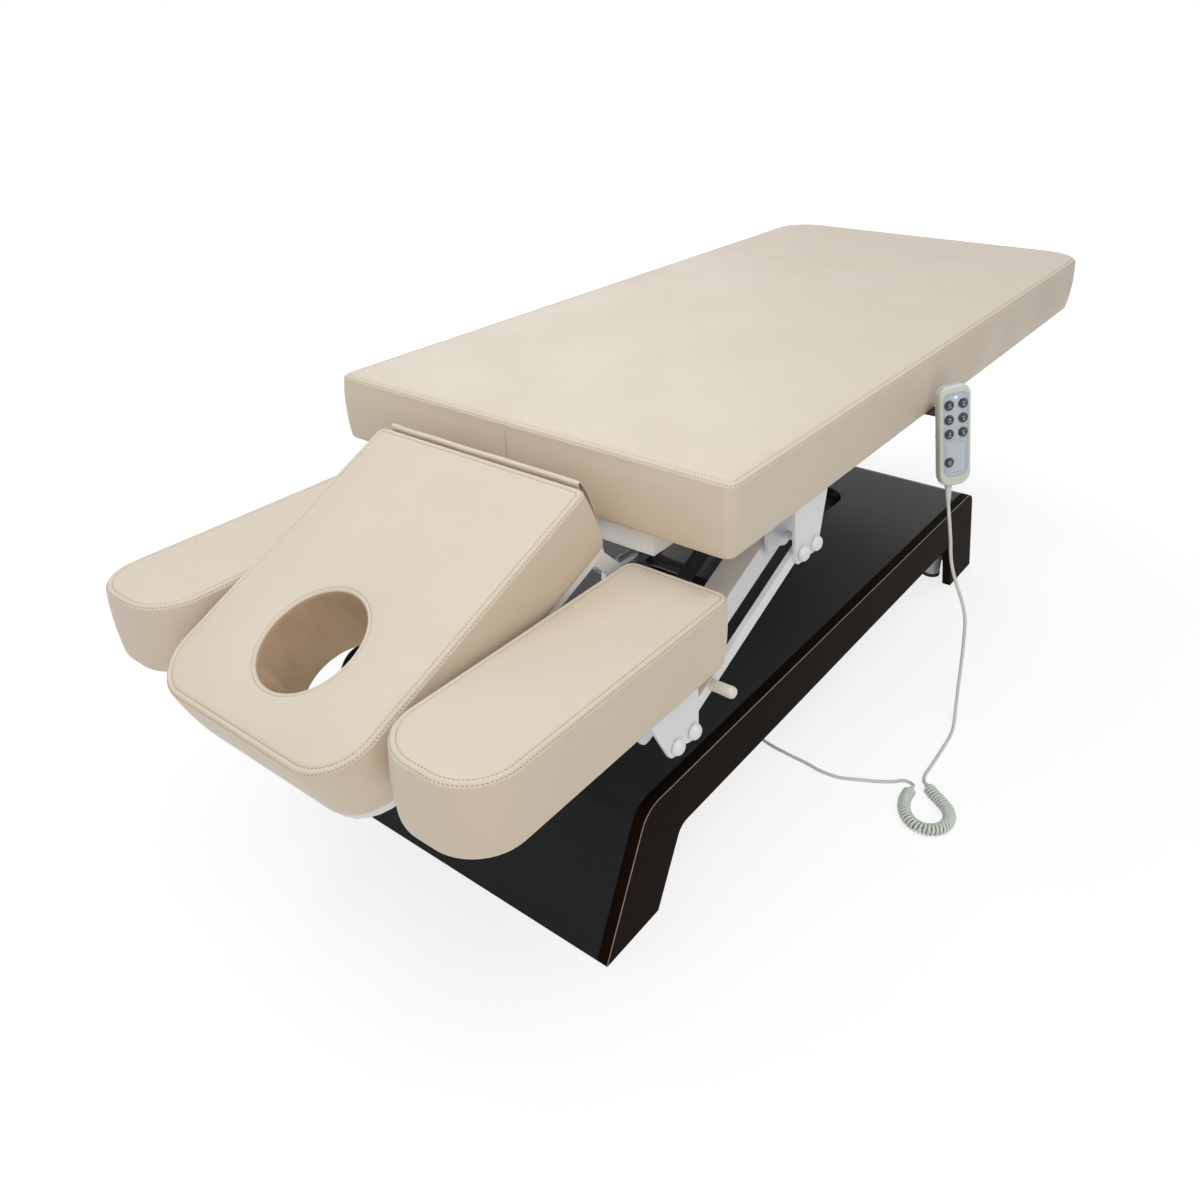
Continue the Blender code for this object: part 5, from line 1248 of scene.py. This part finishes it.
def wooden_base():
    dress(["casing_side_left", "casing_side_right"], "brown_board")
    dress(["casing_cover"], "black_laminate")
    dress([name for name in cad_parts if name.startswith("floor_foot_")], "black_rubber")
    for name, sense in SIDES:
        y = sense * (BASE_SIDE - 0.0004)
        corners = [at(x, y, z) for x, z in EDGE_CORNERS]
        path = [
            corners[0], *rounded(corners[1], corners[0], corners[2], EDGE_BEND),
            *rounded(corners[2], corners[1], corners[3], EDGE_BEND), corners[3]]
        fine = []
        for here, there in zip(path, path[1:]):
            count = max(1, int((there - here).length / BAND_STEP))
            fine += [here.lerp(there, k / count) for k in range(count)]
        # A thin light tube along each side board's top edge, as a painted highlight.
        skin = Skin()
        tube(skin, [*fine, path[-1]], HIGHLIGHT_BAND, 8)
        skin.fitting(name + "_edge_band", "edge_band", 180, "brown_board", "base")


# Steel frames, boards under the pads, links and knobs

PIN_END = 0.3460
BRACKET_PINS = {"top": ((0.206, 0.485), (0.244, 0.485)), "armrest": ((-0.100, 0.345), (-0.062, 0.345))}
CAP_DOME = (
    (0.0106, 0), (0.0112, 0.0006), (0.0112, 0.0036), (0.0104, 0.0060),
    (0.0086, 0.0082), (0.0060, 0.0096), (0.0030, 0.0103), (0.0008, 0.0105))


def steelwork():
    dress(["base_frame", "top_frame", "foot_frame", "headrest_frame"], "white_steel")
    dress([
        side + part for side, sense in SIDES
        for part in ("_upper_bracket", "_lower_bracket", "_flat_link", "_box_link")], "white_steel")
    dress(["main_board", "foot_board", "left_armrest_board", "right_armrest_board"], "plywood")
    for name, sense in SIDES:
        for body, pins in BRACKET_PINS.items():
            skin = Skin()
            for x, z in pins:
                turned(skin, at(x, sense * PIN_END, z), Vector((0, sense, 0)), CAP_DOME, 32)
            skin.fitting(
                name + "_" + body + "_pin_caps", "white_cap", 50, "white_steel",
                "top" if body == "top" else name + "_armrest")


def lift_and_motors():
    dress(["outer_lift_arms", "inner_lift_arms", "handset_hook"], "black_steel")
    dress([
        "lower_pivot_shaft", "upper_pivot_shaft", "upper_roller_shaft", "lower_roller_shaft",
        "lift_motor_rod", "headrest_motor_rod", "foot_section_motor_rod"], "bright_steel")
    dress(["lift_motor", "headrest_motor", "foot_section_motor", "control_box"], "motor_plastic")


KNOB_SHAPE = (
    (0.0062, 0.0), (0.0080, 0.0005), (0.0084, 0.0016), (0.0081, 0.0032), (0.0079, 0.0080),
    (0.0080, 0.0160), (0.0082, 0.0230), (0.0084, 0.0285), (0.0081, 0.0315), (0.0072, 0.0337),
    (0.0055, 0.0353), (0.0032, 0.0361), (0.0010, 0.0364))
KNOB_STEM = 0.0040


def lock_knobs():
    """Smooth rounded handles that are pulled to free the armrests."""
    for name, sense in SIDES:
        knob = name + "_lock_knob"
        low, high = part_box(knob)
        centre = (low + high) / 2
        tip, root = (high.y, low.y) if sense > 0 else (low.y, high.y)
        place = Vector((centre.x, tip - sense * KNOB_SHAPE[-1][1], centre.z))
        out = Vector((0, sense, 0))
        stem = ((KNOB_STEM, 0), (KNOB_STEM, abs(place.y - root) + 0.0004))
        skin = Skin()
        turned(skin, place, out, KNOB_SHAPE, 40)
        turned(skin, Vector((centre.x, root, centre.z)), out, stem, 24)
        handle = skin.fitting(name + "_lock_handle", "knob_plastic", 60, "knob_plastic", knob)
        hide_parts(knob)


# Handset

PITCH = 0.0235
HALF_PITCH = PITCH / 2
BUTTONS = (
    ("bed_up", -HALF_PITCH, 2 * PITCH, "up"), ("bed_down", HALF_PITCH, 2 * PITCH, "down"),
    ("head_up", -HALF_PITCH, PITCH, "up"), ("head_down", HALF_PITCH, PITCH, "down"),
    ("foot_up", -HALF_PITCH, 0, "up"), ("foot_down", HALF_PITCH, 0, "down"),
    ("light", -HALF_PITCH, -2 * PITCH, "lamp"))
# Rounded plates: half width, low edge, high edge and corner radius
FACE_EDGE = (0.0192, -0.0700, 0.0632, 0.0090)
LIGHT_FIELD = (0.0168, -0.0655, -0.0145, 0.0050)
SEAM_LOOP = (0.02655, -0.0891, 0.0771, 0.0165)
LENS_HEIGHT = 0.0582
RIB_COUNT = 5
RIB_START = -0.0935
RIB_PITCH = 0.0042
LENS_SHAPE = ((0.0023, 0), (0.0023, 0.0004), (0.0019, 0.0010), (0.0011, 0.0014), (0.0003, 0.0015))
RIB_SHAPE = ((-0.0006, -0.0009), (0.0003, -0.0005), (0.0003, 0.0005), (-0.0006, 0.0009))


def thin_line(skin, points, width, closed=False, depth=0.00025, front=-0.00012):
    """A raised printed line on the handset's face, through points across and up it."""
    path = [Vector(point) for point in points]
    inner, outer = [], []
    for k, point in enumerate(path):
        before, after = neighbours(path, k, closed)
        along = (after - before).normalized()
        side = Vector((-along.y, along.x)) * width / 2
        inner.append(point + side)
        outer.append(point - side)
    rows = []
    for line, y in ((inner, front + depth), (inner, front), (outer, front), (outer, front + depth)):
        rows.append(skin.ring([on_handset(point.x, y, point.y) for point in line]))
    skin.loft([*rows, rows[0]], closed)
    if not closed:
        skin.faces += [tuple(row[end] for row in rows) for end in (0, -1)]


def round_plate(half, low, high, radius, steps=7):
    """Points of a rounded plate, across and up."""
    ring = []
    for k, (x, z) in enumerate(((half, high), (-half, high), (-half, low), (half, low))):
        cx = x - math.copysign(radius, x)
        cz = z - radius if z == high else z + radius
        for s in range(steps + 1):
            angle = (k + s / steps) * math.pi / 2
            ring.append((cx + radius * math.cos(angle), cz + radius * math.sin(angle)))
    return ring


def arc_points(centre, radius, start, end, steps=14):
    x, z = centre
    angles = [math.radians(start + (end - start) * k / steps) for k in range(steps + 1)]
    return [(x + radius * math.cos(angle), z + radius * math.sin(angle)) for angle in angles]


def button_sign_lines(kind, x, z):
    """What is printed on a button: an arrow over a short bed line, or a small lamp."""
    if kind == "lamp":
        starts, ends = [arc_points((x, z), reach, 0, 315, 7) for reach in (0.0030, 0.0040)]
        rays = [(ray, False) for ray in zip(starts, ends)]
        return [(arc_points((x, z), 0.0019, 0, 345), True), *rays]
    sense = 1 if kind == "up" else -1
    tip = z + sense * 0.0033
    return [
        ([(x, z - sense * 0.0012), (x, tip - sense * 0.0006)], False),
        ([(x - 0.0020, tip - sense * 0.0020), (x, tip), (x + 0.0020, tip - sense * 0.0020)], False),
        ([(x - 0.0030, z - sense * 0.0026), (x + 0.0030, z - sense * 0.0026)], False)]


def handset():
    dress(["handset_shell"], "handset_plastic")
    dress(["handset_panel"], "panel_film")
    dress(["strain_relief"], "cord_plastic")
    dress(["button_" + name for name, x, z, kind in BUTTONS], "button_rubber")
    lines = Skin()
    thin_line(lines, round_plate(*FACE_EDGE), 0.00035, closed=True)
    thin_line(lines, [(-0.0190, -0.0100), (0.0190, -0.0100)], 0.0005)
    thin_line(lines, round_plate(*LIGHT_FIELD), 0.00045, closed=True)
    lines.fitting("panel_lines", "panel_line", 40, "panel_film", "top")
    rings = Skin()
    for name, x, z, kind in BUTTONS:
        around = arc_points((x, z), 0.0076, 0, 350, 35)
        thin_line(rings, around, 0.0011, closed=True, front=-0.0005, depth=0.0007)
    rings.fitting("button_rings", "button_ring", 40, "button_rubber", "top")
    lens = Skin()
    origin = on_handset(0, 0, 0)
    outward = (on_handset(0, -1, 0) - origin).normalized()
    turned(lens, on_handset(0, 0.0002, LENS_HEIGHT), outward, LENS_SHAPE, 24)
    lens.fitting("panel_lamp", "lamp_lens", 60, "panel_film", "top")
    seam = Skin()
    outline = [on_handset(x, HANDSET_MIDDLE, z) for x, z in round_plate(*SEAM_LOOP, 9)]
    tube(seam, outline, 0.00042, 6, closed=True)
    seam.fitting("handset_seam", "panel_line", 180, "handset_plastic", "top")
    for name, x, z, kind in BUTTONS:
        sign = Skin()
        for points, closed in button_sign_lines(kind, x, z):
            thin_line(sign, points, 0.0006, closed, depth=0.0003, front=-0.00378)
        sign.fitting("sign_" + name, "button_sign", 40, "button_rubber", "button_" + name)
    ribs = Skin()
    downward = (on_handset(0, 0, -1) - origin).normalized()
    for k in range(RIB_COUNT):
        radius = 0.0050 - k * 0.0002
        rib = [(radius + grow, height) for grow, height in RIB_SHAPE]
        place = on_handset(SLEEVE_X, HANDSET_MIDDLE, RIB_START - k * RIB_PITCH)
        turned(ribs, place, downward, rib, 20)
    ribs.fitting("sleeve_ribs", "cord_plastic", 50, "cord_plastic", "top")


# Camera and stage

CAMERA_PLACE = (-0.8951, -0.8555, 1.136)
CAMERA_LENS = 29.092


def camera():
    data = bpy.data.cameras.new("view")
    data.sensor_width = 36
    data.lens = CAMERA_LENS
    data.clip_start = 0.05
    data.clip_end = 60
    item = placed("view", data)
    item.matrix_world = (
        Matrix.Translation(at(*CAMERA_PLACE)) @ Matrix.Rotation(-0.9031, 4, "Z")
        @ Matrix.Rotation(1.0226, 4, "X") @ Matrix.Rotation(-0.0198, 4, "Z"))
    bpy.context.scene.camera = item


def lamp(name, place, target, size, power, tone):
    data = bpy.data.lights.new(name, "AREA")
    data.shape = "RECTANGLE"
    data.size, data.size_y = size
    data.energy = power
    data.color = tone
    item = placed(name, data)
    item.location = place
    item.rotation_euler = (Vector(target) - Vector(place)).to_track_quat("-Z", "Y").to_euler()


def seen_directly(tree):
    """1 for what the camera, a mirror or glass looks at, 0 for light that falls on things."""
    rays = node(tree, "ShaderNodeLightPath", {})
    most = rays["Is Camera Ray"]
    for name in ("Is Glossy Ray", "Is Transmission Ray"):
        most = node(tree, "ShaderNodeMath", {0: most, 1: rays[name]}, operation="MAXIMUM")[0]
    return most


FLOOR_HALF = 7.0
FLOOR_STEPS = 28
FLOOR_HEIGHT = -0.0002


def stage():
    scene = bpy.context.scene
    look = scene.stage_light
    scene.view_settings.view_transform = "Standard"
    world = bpy.data.worlds.new("surroundings")
    world.use_nodes = True
    scene.world = world
    tree = world.node_tree
    strength = node(tree, "ShaderNodeMapRange", {
        "Value": seen_directly(tree), "To Min": look.around, "To Max": 1.0})["Result"]
    feed(tree, tree.nodes["Background"], {"Color": (1, 1, 1, 1), "Strength": strength})
    skin = Skin()
    spots = [FLOOR_HALF * (2 * k / FLOOR_STEPS - 1) for k in range(FLOOR_STEPS + 1)]
    skin.loft([skin.ring([(x, y, FLOOR_HEIGHT) for x in spots]) for y in spots], closed=False)
    pale = Finish("pale_floor", look.floor, 0.7)
    pale.tint(pale.clouds(2, 3), 0.02, times(look.floor, 0.97))
    pale.rough(pale.clouds(5, 3), 0.66, 0.74).set(Specular_IOR_Level=0.2)
    surface = pale.shader.outputs[0]
    glow = pale.add("ShaderNodeEmission", {"Strength": look.glow})[0]
    away = pale.add("ShaderNodeVectorMath", {0: pale.place}, operation="LENGTH")["Value"]
    share = pale.spread(away, 1.1, 2.2, 0.66, 1.0)
    both = pale.add("ShaderNodeMixShader", {0: share, 1: surface, 2: glow})[0]
    seen = pale.add("ShaderNodeMixShader", {0: seen_directly(pale.tree), 1: surface, 2: both})[0]
    feed(pale.tree, pale.tree.nodes["Material Output"], {"Surface": seen})
    piece("pale_floor", skin.points, skin.faces, pale.material)
    lamp("key_lamp", (-0.9, -0.6, 3.1), (0, 0, 0.4), (2.6, 2.6), look.key, (0.84, 0.92, 1.0))
    lamp("fill_lamp", (-2.6, -2.6, 1.7), (0, 0, 0.4), (2.2, 1.8), look.fill, (1.0, 0.80, 0.56))
    lamp("back_lamp", (2.2, 2.4, 2.4), (0, 0, 0.5), (2.2, 1.6), look.rim, (1.0, 0.98, 0.95))
    lamp("strip_lamp", (-1.55, 1.40, 2.9), (-0.5, 0, 0.2), (1.6, 0.4), look.strip, (0.95, 0.98, 1.0))


# Operators, in the order in which they run

class TableStep(Operator):
    """One step of the table's making."""
    bl_options = {"REGISTER", "UNDO"}
    make = None

    def execute(self, context):
        type(self).make()
        return {"FINISHED"}


class SetCamera(TableStep):
    """Set the camera at the photograph's angle"""
    bl_idname = "massage_table.set_camera"
    bl_label = "Camera"
    make = staticmethod(camera)


class MakeCord(TableStep):
    """Lay the handset's cord with its curls"""
    bl_idname = "massage_table.make_cord"
    bl_label = "Handset Cord"
    make = staticmethod(handset_cord)


class MakeLongPad(TableStep):
    """Sew the long pad over the main and foot sections"""
    bl_idname = "massage_table.make_long_pad"
    bl_label = "Long Pad"
    make = staticmethod(long_pad)


class MakeHeadrestPad(TableStep):
    """Sew the headrest pad round its breathing hole"""
    bl_idname = "massage_table.make_headrest_pad"
    bl_label = "Headrest Pad"
    make = staticmethod(headrest_pad)


class MakeArmrestPads(TableStep):
    """Sew the two armrest pads"""
    bl_idname = "massage_table.make_armrest_pads"
    bl_label = "Armrest Pads"

    @staticmethod
    def make():
        for name, sense in SIDES:
            armrest_pad(name, sense)


class MakeFlap(TableStep):
    """Fold the flap between the headrest and the long pad"""
    bl_idname = "massage_table.make_flap"
    bl_label = "Headrest Flap"
    make = staticmethod(flap)


class MakeBase(TableStep):
    """Finish the wooden base, with thin light bands along its edges as a painted highlight"""
    bl_idname = "massage_table.make_base"
    bl_label = "Wooden Base"
    make = staticmethod(wooden_base)


class MakeSteelwork(TableStep):
    """Finish the frames, boards, brackets and links"""
    bl_idname = "massage_table.make_steelwork"
    bl_label = "Frames and Links"
    make = staticmethod(steelwork)


class MakeLift(TableStep):
    """Finish the scissor lift, motors and control box"""
    bl_idname = "massage_table.make_lift"
    bl_label = "Lift and Motors"
    make = staticmethod(lift_and_motors)


class MakeKnobs(TableStep):
    """Finish the armrests' lock knobs"""
    bl_idname = "massage_table.make_knobs"
    bl_label = "Lock Knobs"
    make = staticmethod(lock_knobs)


class MakeHandset(TableStep):
    """Finish the handset, its panel, buttons and lamp"""
    bl_idname = "massage_table.make_handset"
    bl_label = "Handset"
    make = staticmethod(handset)


class SetStage(TableStep):
    """Set the pale floor and the soft lamps"""
    bl_idname = "massage_table.set_stage"
    bl_label = "Floor and Lamps"
    make = staticmethod(stage)


STEPS = (
    SetCamera, MakeCord, MakeLongPad, MakeHeadrestPad, MakeArmrestPads, MakeFlap, MakeBase,
    MakeSteelwork, MakeLift, MakeKnobs, MakeHandset, SetStage)
GROUPS = ((PadSewing, "pad_sewing"), (TableColours, "table_colours"), (StageLight, "stage_light"))


class TablePanel(Panel):
    """The steps, sizes and colours of the table"""
    bl_idname = "VIEW3D_PT_massage_table"
    bl_label = "Massage Table"
    bl_space_type = "VIEW_3D"
    bl_region_type = "UI"
    bl_category = "Massage Table"

    def draw(self, context):
        for step in STEPS:
            self.layout.operator(step.bl_idname)
        for group, name in GROUPS:
            box = self.layout.box()
            box.label(text=group.__doc__)
            for key in group.__annotations__:
                box.prop(getattr(context.scene, name), key)


def register():
    for group, name in GROUPS:
        bpy.utils.register_class(group)
        setattr(bpy.types.Scene, name, PointerProperty(type=group))
    for step in STEPS:
        bpy.utils.register_class(step)
    bpy.utils.register_class(TablePanel)


def unregister():
    bpy.utils.unregister_class(TablePanel)
    for step in reversed(STEPS):
        bpy.utils.unregister_class(step)
    for group, name in reversed(GROUPS):
        delattr(bpy.types.Scene, name)
        bpy.utils.unregister_class(group)


def main():
    register()
    for step in STEPS:
        family, name = step.bl_idname.split(".")
        getattr(getattr(bpy.ops, family), name)()


if __name__ == "__main__":
    main()
